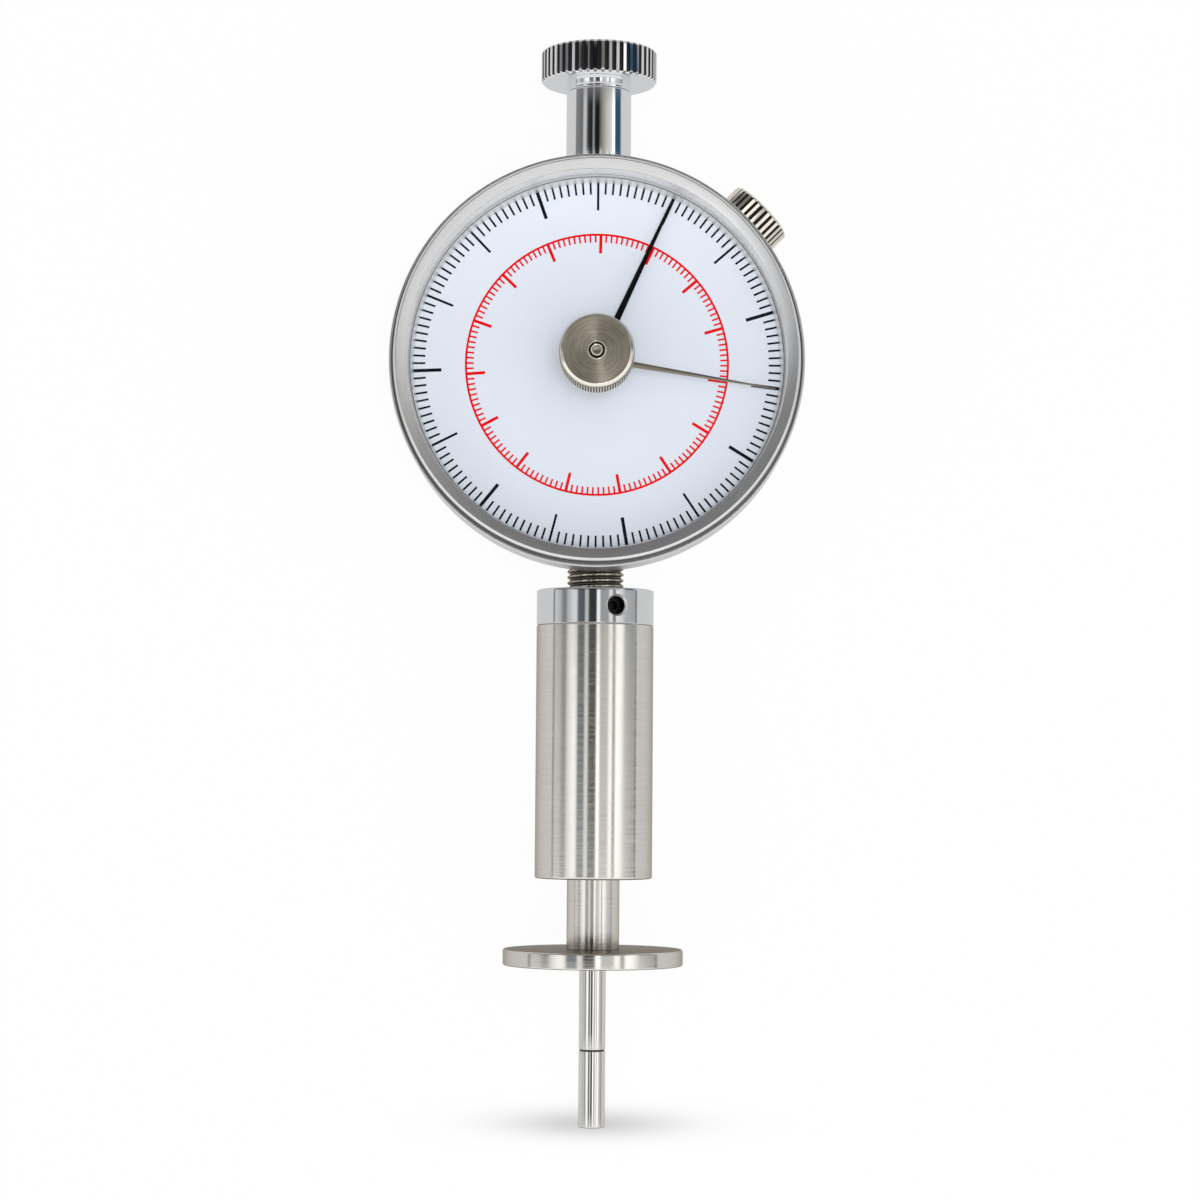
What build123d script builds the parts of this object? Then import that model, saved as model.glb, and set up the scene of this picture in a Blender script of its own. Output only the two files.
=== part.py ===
from build123d import *
import math
import os

# Fruit firmness tester, in millimetres, lying on its back cover with the dial facing up.
# +Z is the outward normal of the dial, +Y runs along the plunger from the probe to the end knob.
# The origin is the centre of the back cover's rear face.

# Probe, splash disc and plunger
probe_r = 1.75
probe_length = 21.0
probe_tip_edge = 0.15
probe_shank_r = 1.5
probe_shank_length = 7.5
depth_mark = 10.0
depth_mark_width = 0.3
depth_mark_depth = 0.12
disc_r = 11.8
disc_t = 2.1
disc_edge = 0.2
plunger_r = 3.45
plunger_shown = 9.2
plunger_travel = 8.0
rod_r = 2.0
rod_screwed_in = 5.9
guide_pin_r = 0.6
guide_pin_depth = 1.5
guide_pin_inset = 12.33
guide_block_end = 1.6
guide_block_gap = 0.3

# Barrel, its main spring, collar and neck
barrel_r = 7.7
barrel_wall = 1.2
barrel_length = 33.15
barrel_floor = 3.0
barrel_edge = 0.35
collar_length = 4.65
collar_spigot_length = 4.45
collar_edge = 0.5
seat_t = 1.65
seat_play = 0.2
spring_washer_t = 0.8
spring_washer_play = 0.6
spring_wire_r = 0.55
spring_play = 0.75
spring_turns = 8.5
neck_thread_r = 3.7
neck_shown = 3.0
set_screw_r = 1.15
set_screw_angle = 21.9
set_screw_from_top = 2.3
set_screw_recess = 1.5
set_screw_mouth_r = 1.45
set_screw_mouth_depth = 0.25

# Case and back cover
case_r = 25.4
case_wall = 2.0
case_back_z = 0.3
case_edge = 1.0
cover_rim = 2.5
cover_t = 1.4
cover_edge = 0.25
web_t = 1.2
web_hole_r = 14.0
boss_r = 4.3
boss_proud = 0.5
pad_r = 6.2
pad_depth = 1.0
nut_flats = 10.0
nut_t = 2.05
tube_past_nut = 0.2
bush_length = 4.2
cover_screws_count = 4
cover_screw_inset = 2.9
slot_width = 0.35
slot_depth = 0.3

# Bezel, crystal and dial
bezel_overhang = 1.3
bezel_shoulder_step = 0.35
bezel_front_step = 0.8
bezel_foot_edge = 0.6
bezel_land_drop = 2.0
bezel_groove_width = 0.25
bezel_groove_depth = 0.3
bezel_band_drop = 0.45
bezel_foot_rise = 0.8
bezel_land_edge = 0.1
bezel_bead_drop = 0.4
bezel_height = 10.2
bezel_below_dial = 3.5
spigot_wall = 1.5
spigot_groove_depth = 0.6
dial_t = 0.5
print_t = 0.03
crystal_rim = 1.55
crystal_ledge = 0.55
crystal_t = 1.0
crystal_rise = 3.9
crystal_above_dial = 2.3
ring_wire = 0.5
ring_bite = 0.3
ring_opening = 4.0
dial_ring_t = 0.7
dial_inset = 0.45

# Stem, end knob and lock screw
stem_length = 11.6
stem_bore_r = 3.0
end_knob_r = 7.65
end_knob_height = 4.3
end_knob_boss_height = 1.2
end_knob_flutes = 48
end_knob_flute_r = 0.28
end_knob_edge = 0.3
stud_gap = 1.4
lock_head_r = 4.55
lock_head_height = 4.4
lock_head_edge = 0.4
lock_screw_angle = 45.0
lock_screw_flutes = 32
lock_flute_r = 0.3
lock_shank_r = 1.45
lock_waist_depth = 0.4
lock_tip_inset = 1.2
lock_boss_r = 4.0
lock_boss_inset = 0.4
brake_pin_r = 0.6

# Movement: a rack on the plunger's rod drives a pinion, its wheel drives the centre pinion
rack_module = 0.4
rack_pinion_teeth = 16
wheel_module = 0.25
wheel_teeth = 38
centre_pinion_teeth = 16
pressure_angle = 20.0
addendum_share = 0.85
dedendum_share = 1.25
tooth_play = 0.04
rack_flat_depth = 0.06
rack_spaces = 13
rack_spaces_above = 3
pinion_face = 3.2
wheel_t = 0.8
centre_pinion_face = 1.4
wheel_above_plate = 0.8
arbor_hole_play = 0.5
plate_rim = 3.8
plate_t = 0.8
rear_plate_below_axis = 4.8
middle_plate_above_axis = 2.6
front_bay = 3.0
arbor_r = 0.8
pivot_r = 0.5
spacer_r = 1.5
screw_r = 0.7
screw_head_r = 1.3
screw_head_share = 0.6
spacer_inset = 1.6
spacer_angles = (35.0, 145.0, 215.0, 325.0)
strip_t = 0.12
strip_height = 0.45
strip_below_plate = 0.25
coil_pitch = 0.45
half_coils = 13
first_coil_r = 1.9
spring_stud_width = 0.6
spring_stud_length = 0.8

# Hands, reset knob and the printed scales
hand_tip_gap = 0.4
hand_t = 0.16
hand_hub_t = 0.6
driving_hand_angle = 24.3
driving_hand_hub_r = 1.8
driving_hand_root_width = 1.0
driving_hand_tip_width = 0.33
driving_hand_hub_above_dial = 2.6
driving_hand_tip_above_dial = 0.9
peak_hand_angle = 98.0
peak_hand_hub_r = 1.6
peak_hand_root_width = 0.92
peak_hand_tip_width = 0.16
peak_hand_hub_above_dial = 5.3
peak_hand_tip_above_dial = 1.8
lug_radius = 4.5
lug_r = 0.25
lug_gap = 0.15
arbor_past_hub = 0.5
reset_knob_r = 4.8
reset_knob_face_r = 4.26
reset_knob_height = 5.6
reset_knob_slope = 1.1
reset_knob_edge = 0.12
reset_knob_rim = 0.7
reset_knob_centre_r = 1.3
reset_knob_centre_step = 0.15
spindle_r = 0.87
spindle_dimple_r = 0.25
crystal_bore_play = 0.08
friction_washer_r = 2.64
outer_divisions = 148
outer_overlap = 0.1
outer_tick_length = 1.6
outer_tick_width = 0.2
outer_major_length = 3.7
outer_major_width = 0.24
outer_strong_width = 0.38
outer_strong_divisions = (10, 30, 40, 50, 70, 90, 110, 140)
inner_divisions = 150
inner_start_angle = 1.4
inner_circle_share = 0.7143
inner_line = 0.24
inner_tick_length = 1.0
inner_tick_width = 0.18
inner_major_length = 2.45
inner_major_width = 0.3

# Clearances
floor_gap = 0.2
running_fit = 0.05
pivot_fit = 0.03
screw_fit = 0.03
seat_fit = 0.02
face_gap = 0.1
overcut = 1.0
dial_gap = 0.3

# Heights that follow from the sizes above
axis_z = disc_r + floor_gap
web_top = cover_t + web_t
rear_plate_z = axis_z - rear_plate_below_axis
rear_plate_top = rear_plate_z + plate_t
middle_plate_z = axis_z + middle_plate_above_axis
middle_plate_top = middle_plate_z + plate_t
front_plate_z = middle_plate_top + front_bay
front_plate_top = front_plate_z + plate_t
dial_bottom = front_plate_top + dial_gap
dial_z = dial_bottom + dial_t
bezel_bottom = dial_z - bezel_below_dial
bezel_front = bezel_bottom + bezel_height
case_shoulder = bezel_bottom - face_gap
case_top = dial_bottom - dial_ring_t - 2 * face_gap
crystal_seat = dial_z + crystal_above_dial
crystal_inside = crystal_seat + crystal_rise
crystal_outside = crystal_inside + crystal_t
knob_base = crystal_outside + 2 * face_gap
knob_face = knob_base + reset_knob_height

# Radii that follow from the barrel
barrel_bore_r = barrel_r - barrel_wall
spring_mean_r = barrel_bore_r - spring_wire_r - spring_play

# Radii that follow from the case
case_bore_r = case_r - case_wall
cover_r = case_r - cover_rim
cover_screw_circle_r = cover_r - cover_screw_inset
plate_r = case_bore_r - plate_rim
spacer_circle_r = plate_r - spacer_inset
spigot_r = case_bore_r + spigot_wall
spigot_groove_r = spigot_r - spigot_groove_depth
bezel_r = case_r + bezel_overhang
bezel_bore_r = spigot_r + running_fit
bezel_foot_r = bezel_r - bezel_foot_edge
bezel_shoulder_r = bezel_r - bezel_shoulder_step
bezel_front_r = bezel_r - bezel_front_step
crystal_r = bezel_front_r - crystal_rim
bezel_lip_r = crystal_r - crystal_ledge
dial_r = spigot_r - dial_inset
hand_length = bezel_lip_r - hand_tip_gap
inner_circle_r = inner_circle_share * bezel_lip_r
lock_boss_end = bezel_r - lock_boss_inset
lock_head_inner = lock_boss_end + face_gap
brake_pin_at = bezel_bore_r + brake_pin_r

# Places along the plunger, seen from the dial's axis
boss_y = case_r + boss_proud
pad_y = case_bore_r - pad_depth
collar_top = -boss_y - neck_shown
collar_bottom = collar_top - collar_length
collar_end = collar_bottom - collar_spigot_length
barrel_bottom = collar_bottom - barrel_length
barrel_inside = barrel_bottom + barrel_floor
seat_bottom = barrel_inside + running_fit
seat_top = seat_bottom + seat_t
plunger_bottom = barrel_bottom - plunger_shown
disc_bottom = plunger_bottom - disc_t
probe_tip = disc_bottom - probe_length
stem_top = boss_y + stem_length
end_knob_bottom = stem_top + end_knob_boss_height
nut_inside = pad_y - nut_t - seat_fit
guide_pin_y = nut_inside - guide_pin_inset
rod_top = nut_inside + bush_length
neck_inside = -nut_inside + tube_past_nut
stud_bottom = rod_top + plunger_travel + stud_gap

# Gear train
rack_pitch_x = rod_r - rack_flat_depth - addendum_share * rack_module
rack_pinion_r = rack_module * rack_pinion_teeth / 2
wheel_pitch_r = wheel_module * wheel_teeth / 2
centre_pinion_r = wheel_module * centre_pinion_teeth / 2
arbor_x = -(rack_pitch_x + rack_pinion_r)
arbor_y = -math.sqrt((wheel_pitch_r + centre_pinion_r) ** 2 - arbor_x**2)
mesh_angle = math.degrees(math.atan2(-arbor_y, -arbor_x))

# Working planes and axes
long_plane = Plane.XY.offset(axis_z)
long_axis = Axis((0, 0, axis_z), (0, 1, 0))
dial_section = Plane.XZ
lock_dir = Vector(math.cos(math.radians(lock_screw_angle)), math.sin(math.radians(lock_screw_angle)), 0)
lock_axis = Axis((0, 0, axis_z), tuple(lock_dir))
lock_section = Plane(origin=(0, 0, axis_z), x_dir=(0, 0, 1), z_dir=(-lock_dir.Y, lock_dir.X, 0))

os.makedirs("parts", exist_ok=True)


def save(part, name):
    """Labels a finished piece and writes it under the same name."""
    part.label = name
    export_step(part, f"parts/{name}.step")


def along(y):
    """A plane square to the plunger's axis at height y, its normal towards the end knob."""
    return Plane(origin=(0, y, axis_z), x_dir=(1, 0, 0), z_dir=(0, 1, 0))


def lock_at(distance):
    """A plane square to the lock screw's axis, at a distance from the dial's axis."""
    return Plane(origin=tuple(lock_dir * distance + Vector(0, 0, axis_z)), x_dir=(0, 0, 1), z_dir=tuple(lock_dir))


def section(plane, *points):
    """A closed outline of straight runs on a plane, for turning about an axis of that plane."""
    with BuildSketch(plane) as outline:
        with BuildLine():
            Polyline(*points, close=True)
        make_face()
    return outline.sketch


def round_bar(plane, length, *radii):
    """A disc, or a ring when a second radius is given, drawn out along the plane's normal."""
    with BuildPart() as bar:
        with BuildSketch(plane):
            Circle(radii[0])
            if len(radii) > 1:
                Circle(radii[1], mode=Mode.SUBTRACT)
        extrude(amount=length)
    return bar.part


def polar_point(radius, angle):
    return (radius * math.cos(math.radians(angle)), radius * math.sin(math.radians(angle)))


def involute_point(base_r, radius, start_angle, side):
    """A point of the involute of base_r at a radius, on one side of the tooth's middle."""
    roll = math.sqrt(max((radius / base_r) ** 2 - 1, 0))
    turned = roll - math.atan(roll)
    return polar_point(radius, start_angle - side * math.degrees(turned))


def gear_profile(plane, module, teeth, tooth_angle):
    """A spur gear with involute flanks: one tooth's middle lies at tooth_angle from the plane's x axis."""
    pitch_r = module * teeth / 2
    base_r = pitch_r * math.cos(math.radians(pressure_angle))
    tip_r = pitch_r + addendum_share * module
    root_r = pitch_r - dedendum_share * module
    roll = math.tan(math.radians(pressure_angle))
    pitch_half = math.degrees(math.pi / (2 * teeth) - tooth_play / (4 * pitch_r))
    base_half = pitch_half + math.degrees(roll - math.radians(pressure_angle))
    with BuildSketch(plane) as profile:
        Circle(root_r)
        with BuildSketch(mode=Mode.PRIVATE) as tooth:
            with BuildLine():
                foot = [polar_point(root_r * 0.98, side * base_half) for side in (1, -1)]
                base = [polar_point(base_r, side * base_half) for side in (1, -1)]
                mid_r = (max(base_r, root_r) + tip_r) / 2
                mid = [involute_point(base_r, mid_r, side * base_half, side) for side in (1, -1)]
                tip = [involute_point(base_r, tip_r, side * base_half, side) for side in (1, -1)]
                ThreePointArc(base[0], mid[0], tip[0])
                ThreePointArc(tip[0], (tip_r, 0), tip[1])
                ThreePointArc(tip[1], mid[1], base[1])
                Polyline(base[1], foot[1], foot[0], base[0])
            make_face()
        for number in range(teeth):
            add(tooth.sketch.rotate(Axis.Z, tooth_angle + number * 360 / teeth))
    return profile.sketch


def hex_nut(outer_y, inner_y, hole_r):
    """A hexagonal nut on the plunger's axis between two heights."""
    with BuildPart() as nut:
        with BuildSketch(along(min(outer_y, inner_y))):
            RegularPolygon(nut_flats / 2, 6, major_radius=False)
            Circle(hole_r, mode=Mode.SUBTRACT)
        extrude(amount=abs(outer_y - inner_y))
    return nut.part


def hand_blade(angle, hub_z, tip_z, root_width, tip_width):
    """A tapered blade that slopes from the hub's height to the tip's height, at a clock angle."""
    fall = math.atan2(hub_z - tip_z, hand_length)
    east, north = math.sin(math.radians(angle)), math.cos(math.radians(angle))
    outward = (east * math.cos(fall), north * math.cos(fall), -math.sin(fall))
    upward = (east * math.sin(fall), north * math.sin(fall), math.cos(fall))
    blade_plane = Plane(origin=(0, 0, hub_z), x_dir=outward, z_dir=upward)
    reach = hand_length / math.cos(fall)
    with BuildPart() as blade:
        corners = ((0, -root_width / 2), (reach, -tip_width / 2), (reach, tip_width / 2), (0, root_width / 2))
        with BuildSketch(blade_plane):
            with BuildLine():
                Polyline(*corners, close=True)
            make_face()
        extrude(amount=hand_t / 2, both=True)
    return blade.part


# Probe: a polished pin with a turned depth mark, and a thinner shank that screws into the plunger
mark_y = probe_tip + depth_mark
with BuildPart() as probe:
    revolve(
        section(
            long_plane,
            (0, probe_tip),
            (probe_r - probe_tip_edge, probe_tip),
            (probe_r, probe_tip + probe_tip_edge),
            (probe_r, mark_y - depth_mark_width / 2),
            (probe_r - depth_mark_depth, mark_y),
            (probe_r, mark_y + depth_mark_width / 2),
            (probe_r, disc_bottom),
            (probe_shank_r, disc_bottom),
            (probe_shank_r, disc_bottom + probe_shank_length),
            (0, disc_bottom + probe_shank_length),
        ),
        axis=long_axis,
    )
save(probe.part, "probe")

# Splash disc: held between the probe's shoulder and the plunger
with BuildPart() as splash_disc:
    with BuildSketch(along(disc_bottom)):
        Circle(disc_r)
        Circle(probe_shank_r + screw_fit, mode=Mode.SUBTRACT)
    extrude(amount=disc_t)
    rims = splash_disc.edges().filter_by(GeomType.CIRCLE).filter_by(lambda e: e.radius > disc_r / 2)
    chamfer(rims, disc_edge)
save(splash_disc.part, "splash_disc")

# Plunger: slides in the barrel's floor, with a wide seat for the main spring at its upper end
with BuildPart() as plunger_rod:
    with BuildSketch(along(plunger_bottom)):
        Circle(plunger_r)
    extrude(amount=seat_bottom - plunger_bottom)
    with BuildSketch(along(seat_bottom)):
        Circle(barrel_bore_r - seat_play)
    extrude(amount=seat_t)
    add(
        round_bar(along(disc_bottom), probe_shank_length + face_gap, probe_shank_r + screw_fit),
        mode=Mode.SUBTRACT,
    )
    add(
        round_bar(along(seat_top), -(rod_screwed_in + face_gap), rod_r + screw_fit),
        mode=Mode.SUBTRACT,
    )
save(plunger_rod.part, "plunger_rod")

# Rack rod: a round bar whose left side is cut flat and toothed where the pinion runs
rack_pitch = math.pi * rack_module
addendum = addendum_share * rack_module
dedendum = dedendum_share * rack_module
rack_tip_x = -rack_pitch_x - addendum
rack_root_x = -rack_pitch_x + dedendum
flank_tan = math.tan(math.radians(pressure_angle))
space_half = (rack_pitch + tooth_play) / 4
with BuildPart() as rack_rod:
    with BuildSketch(along(seat_top - rod_screwed_in)):
        Circle(rod_r)
    extrude(amount=rod_top - seat_top + rod_screwed_in)
    rack_low = arbor_y + (rack_spaces_above - rack_spaces - 0.5) * rack_pitch
    rack_high = arbor_y + rack_spaces_above * rack_pitch
    with BuildSketch(Plane.XY.offset(axis_z - rod_r)):
        with BuildLine():
            Polyline(
                (rack_tip_x, rack_low),
                (rack_tip_x, rack_high),
                (-rod_r - overcut, rack_high + overcut),
                (-rod_r - overcut, rack_low - overcut),
                close=True,
            )
        make_face()
        for number in range(rack_spaces_above - rack_spaces, rack_spaces_above):
            space_y = arbor_y + (number + 0.5) * rack_pitch
            mouth = space_half + (addendum + 0.1) * flank_tan
            floor = space_half - dedendum * flank_tan
            with BuildLine():
                Polyline(
                    (rack_tip_x - 0.1, space_y - mouth),
                    (rack_root_x, space_y - floor),
                    (rack_root_x, space_y + floor),
                    (rack_tip_x - 0.1, space_y + mouth),
                    close=True,
                )
            make_face()
    extrude(amount=2 * rod_r, mode=Mode.SUBTRACT)
    pin_plane = Plane(origin=(0, guide_pin_y, axis_z), x_dir=(1, 0, 0), z_dir=(0, 0, -1))
    add(
        round_bar(pin_plane, rod_r + overcut, guide_pin_r + seat_fit),
        mode=Mode.SUBTRACT,
    )
save(rack_rod.part, "rack_rod")

# Guide pin: stands out of the rod's back and runs in the guide's slot, so the rod can't turn
with BuildPart() as guide_pin:
    add(round_bar(pin_plane, rod_r + guide_pin_depth, guide_pin_r))
save(guide_pin.part, "guide_pin")

# Barrel: a closed-end tube round the main spring
with BuildPart() as barrel:
    with BuildSketch(along(barrel_bottom)):
        Circle(barrel_r)
    extrude(amount=barrel_length)
    fillet(barrel.edges().sort_by(Axis.Y)[0], barrel_edge)
    add(round_bar(along(barrel_inside), barrel_length, barrel_bore_r), mode=Mode.SUBTRACT)
    add(
        round_bar(along(barrel_bottom - overcut), barrel_floor + 2 * overcut, plunger_r + running_fit),
        mode=Mode.SUBTRACT,
    )
save(barrel.part, "barrel")

# Collar: its spigot fits the barrel, its bore fits the neck, and a radial hole takes the set screw
set_screw_y = collar_top - set_screw_from_top
screw_east = math.sin(math.radians(set_screw_angle))
screw_up = math.cos(math.radians(set_screw_angle))
set_screw_plane = Plane(origin=(0, set_screw_y, axis_z), x_dir=(0, 1, 0), z_dir=(screw_east, 0, screw_up))
with BuildPart() as collar:
    with BuildSketch(along(collar_bottom)):
        Circle(barrel_r)
    extrude(amount=collar_length)
    fillet(collar.edges().sort_by(Axis.Y)[-1], collar_edge)
    with BuildSketch(along(collar_end)):
        Circle(barrel_bore_r - running_fit)
    extrude(amount=collar_spigot_length)
    bore_length = collar_spigot_length + collar_length + 2 * overcut
    add(
        round_bar(along(collar_end - overcut), bore_length, neck_thread_r + screw_fit),
        mode=Mode.SUBTRACT,
    )
    add(
        round_bar(set_screw_plane, barrel_r + overcut, set_screw_r + running_fit),
        mode=Mode.SUBTRACT,
    )
    with BuildSketch(set_screw_plane.offset(barrel_r - set_screw_mouth_depth)):
        Circle(set_screw_r + running_fit)
    with BuildSketch(set_screw_plane.offset(barrel_r + set_screw_mouth_depth)):
        Circle(2 * set_screw_mouth_r - set_screw_r - running_fit)
    loft(mode=Mode.SUBTRACT)
save(collar.part, "collar")

# Set screw: a headless screw with a hexagonal socket, which clamps the collar on the neck
grub_inner = neck_thread_r + screw_fit
with BuildPart() as set_screw:
    with BuildSketch(set_screw_plane.offset(grub_inner)):
        Circle(set_screw_r)
    extrude(amount=barrel_r - set_screw_recess - grub_inner)
    with BuildSketch(set_screw_plane.offset(barrel_r - set_screw_recess)):
        RegularPolygon(set_screw_r / 2, 6, major_radius=False)
    extrude(amount=-set_screw_r * 0.7, mode=Mode.SUBTRACT)
save(set_screw.part, "set_screw")

# Spring washer and main spring: the spring stands between the plunger's seat and the washer
washer_bottom = collar_end - spring_washer_t
with BuildPart() as spring_washer:
    add(
        round_bar(along(washer_bottom), spring_washer_t, barrel_bore_r - seat_play, rod_r + spring_washer_play)
    )
save(spring_washer.part, "spring_washer")

coil_low = seat_top + spring_wire_r + face_gap / 2
coil_high = washer_bottom - spring_wire_r - face_gap / 2
with BuildPart() as main_spring:
    with BuildLine() as coil:
        coil_rise = coil_high - coil_low
        Helix(coil_rise / spring_turns, coil_rise, spring_mean_r, (0, coil_low, axis_z), (0, 1, 0))
    with BuildSketch(Plane(origin=coil.line @ 0, z_dir=coil.line % 0)):
        RegularPolygon(spring_wire_r, 8)
    sweep(path=coil.line, is_frenet=True)
save(main_spring.part, "main_spring")

# Neck: a threaded tube that carries the collar, screwed through the case wall and held by a nut
with BuildPart() as neck:
    add(
        round_bar(along(collar_end), neck_inside - collar_end, neck_thread_r, rod_r + running_fit)
    )
save(neck.part, "neck")

with BuildPart() as neck_nut:
    add(hex_nut(-pad_y + seat_fit, -nut_inside, neck_thread_r + screw_fit))
save(neck_nut.part, "neck_nut")

# Case: a ring with an inner web, a spigot for the bezel, and bosses for neck, stem and lock screw
groove_z = (bezel_bottom + case_top) / 2 - ring_wire / 2
with BuildPart() as case_body:
    revolve(
        section(
            dial_section,
            (web_hole_r, cover_t),
            (cover_r + running_fit, cover_t),
            (cover_r + running_fit, case_back_z),
            (case_r - case_edge, case_back_z),
            (case_r, case_back_z + case_edge),
            (case_r, case_shoulder),
            (spigot_r, case_shoulder),
            (spigot_r, case_top),
            (case_bore_r, case_top),
            (case_bore_r, web_top),
            (web_hole_r, web_top),
        ),
        axis=Axis.Z,
    )
    for side in (1, -1):
        boss_plane = along(side * (case_bore_r + case_wall / 2))
        add(round_bar(boss_plane, side * (boss_y - case_bore_r - case_wall / 2), boss_r))
        add(round_bar(along(side * pad_y), side * (pad_depth + case_wall / 2), pad_r))
    lock_boss_plane = lock_at(case_bore_r + case_wall / 2)
    add(round_bar(lock_boss_plane, lock_boss_end - case_bore_r - case_wall / 2, lock_boss_r))
    add(
        round_bar(along(-boss_y - overcut), 2 * (boss_y + overcut), neck_thread_r + screw_fit),
        mode=Mode.SUBTRACT,
    )
    add(
        round_bar(lock_at(web_hole_r), bezel_r - web_hole_r, lock_shank_r + running_fit),
        mode=Mode.SUBTRACT,
    )
    add(
        round_bar(Plane.XY.offset(groove_z - face_gap / 2), ring_wire + face_gap, case_r, spigot_groove_r),
        mode=Mode.SUBTRACT,
    )
    with BuildSketch(Plane.XY.offset(cover_t)):
        with PolarLocations(cover_screw_circle_r, cover_screws_count):
            Circle(screw_r + seat_fit)
        for spacer_angle in spacer_angles:
            with Locations(polar_point(spacer_circle_r, spacer_angle)):
                Circle(screw_r + seat_fit)
    extrude(amount=web_t, mode=Mode.SUBTRACT)
    brake_x, brake_y = polar_point(brake_pin_at, lock_screw_angle)
    with BuildSketch(Plane.XY.offset(axis_z)):
        with Locations((brake_x, brake_y)):
            Circle(brake_pin_r + seat_fit)
    extrude(amount=bezel_bottom - axis_z, mode=Mode.SUBTRACT)
save(case_body.part, "case_body")

# Back cover: the flat face that the tester lies on, with four sunk screws
cover_head_z = cover_t * screw_head_share
with BuildPart() as back_cover:
    with BuildSketch(Plane.XY):
        Circle(cover_r)
    extrude(amount=cover_t)
    chamfer(back_cover.edges().sort_by(Axis.Z)[0], cover_edge)
    with BuildSketch(Plane.XY):
        with PolarLocations(cover_screw_circle_r, cover_screws_count):
            Circle(screw_head_r + running_fit)
    extrude(amount=cover_head_z, mode=Mode.SUBTRACT)
    with BuildSketch(Plane.XY):
        with PolarLocations(cover_screw_circle_r, cover_screws_count):
            Circle(screw_r + screw_fit)
    extrude(amount=cover_t, mode=Mode.SUBTRACT)
save(back_cover.part, "back_cover")

with BuildPart() as cover_screws:
    for number in range(cover_screws_count):
        head_x, head_y = polar_point(cover_screw_circle_r, number * 360 / cover_screws_count)
        with BuildSketch(Plane.XY.offset(face_gap)):
            with Locations((head_x, head_y)):
                Circle(screw_head_r)
        extrude(amount=cover_head_z - face_gap)
        with BuildSketch(Plane.XY.offset(face_gap)):
            with Locations((head_x, head_y)):
                Rectangle(3 * screw_head_r, slot_width)
        extrude(amount=slot_depth, mode=Mode.SUBTRACT)
        with BuildSketch(Plane.XY.offset(cover_head_z)):
            with Locations((head_x, head_y)):
                Circle(screw_r)
        extrude(amount=web_top - face_gap - cover_head_z)
save(cover_screws.part, "cover_screws")

# Snap ring: an open wire ring in facing grooves of the case and the bezel, which holds the bezel on
ring_outer = bezel_bore_r + ring_bite
with BuildPart() as snap_ring:
    with BuildSketch(Plane.XY.offset(groove_z)):
        Circle(ring_outer)
        Circle(spigot_groove_r + seat_fit, mode=Mode.SUBTRACT)
        with Locations((ring_outer, 0)):
            Rectangle(ring_opening, ring_opening, mode=Mode.SUBTRACT)
    extrude(amount=ring_wire)
save(snap_ring.part, "snap_ring")

# Bezel: a turned ring with a steep inner cone, a seat for the crystal and a lip over the dial's edge
lip_under = dial_z + print_t + seat_fit
groove_low = groove_z - face_gap
groove_high = groove_z + ring_wire + face_gap
bezel_land = bezel_front - bezel_land_drop
bead_r = bezel_shoulder_r - bezel_groove_width
with BuildPart() as bezel:
    revolve(
        section(
            dial_section,
            (bezel_bore_r, bezel_bottom),
            (bezel_foot_r, bezel_bottom),
            (bezel_r, bezel_bottom + bezel_foot_rise),
            (bezel_r, bezel_land - bezel_land_edge),
            (bezel_r - bezel_land_edge, bezel_land),
            (bezel_shoulder_r, bezel_land),
            (bezel_shoulder_r, bezel_land - bezel_groove_depth),
            (bead_r, bezel_land - bezel_groove_depth),
            (bead_r, bezel_front - bezel_bead_drop),
            (bezel_front_r, bezel_front),
            (crystal_r + running_fit, bezel_front - bezel_band_drop),
            (crystal_r + running_fit, crystal_seat),
            (crystal_r - crystal_ledge / 2, crystal_seat),
            (bezel_lip_r, lip_under),
            (dial_r + running_fit, lip_under),
            (dial_r + running_fit, dial_bottom),
            (bezel_bore_r, dial_bottom),
            (bezel_bore_r, groove_high),
            (ring_outer + face_gap, groove_high),
            (ring_outer + face_gap, groove_low),
            (bezel_bore_r, groove_low),
        ),
        axis=Axis.Z,
    )
save(bezel.part, "bezel")

# Crystal: a thin dome with a bored centre for the reset spindle
hole_r = spindle_r + crystal_bore_play
hole_drop = crystal_rise * (hole_r / crystal_r) ** 2
half_drop = crystal_rise / 4
crystal_mid_r = crystal_r / 2
with BuildPart() as crystal:
    with BuildSketch(dial_section):
        with BuildLine():
            ThreePointArc(
                (crystal_r, crystal_seat),
                (crystal_mid_r, crystal_inside - half_drop),
                (hole_r, crystal_inside - hole_drop),
            )
            Line((hole_r, crystal_inside - hole_drop), (hole_r, crystal_outside - hole_drop))
            ThreePointArc(
                (hole_r, crystal_outside - hole_drop),
                (crystal_mid_r, crystal_outside - half_drop),
                (crystal_r, crystal_seat + crystal_t),
            )
            Line((crystal_r, crystal_seat + crystal_t), (crystal_r, crystal_seat))
        make_face()
    revolve(axis=Axis.Z)
save(crystal.part, "crystal")

# Dial ring, dial plate and the two printed scales, which all turn with the bezel
with BuildPart() as dial_ring:
    add(round_bar(Plane.XY.offset(dial_bottom - dial_ring_t), dial_ring_t, spigot_r, case_bore_r - face_gap))
save(dial_ring.part, "dial_ring")

with BuildPart() as dial_plate:
    add(round_bar(Plane.XY.offset(dial_bottom), dial_t, dial_r, 2 * arbor_r))
save(dial_plate.part, "dial_plate")


def tick_angles(divisions, start, step):
    """Clock angles of the lines of a scale, counted from the top, as angles from +X."""
    return [90 - start - number * 360 / divisions for number in range(0, divisions, step)]


def tick_places(radius, angles):
    """Places on a circle, each turned so that its x axis points away from the centre."""
    return Locations(*[Location((*polar_point(radius, a), 0), (0, 0, 1), a) for a in angles])


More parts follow.
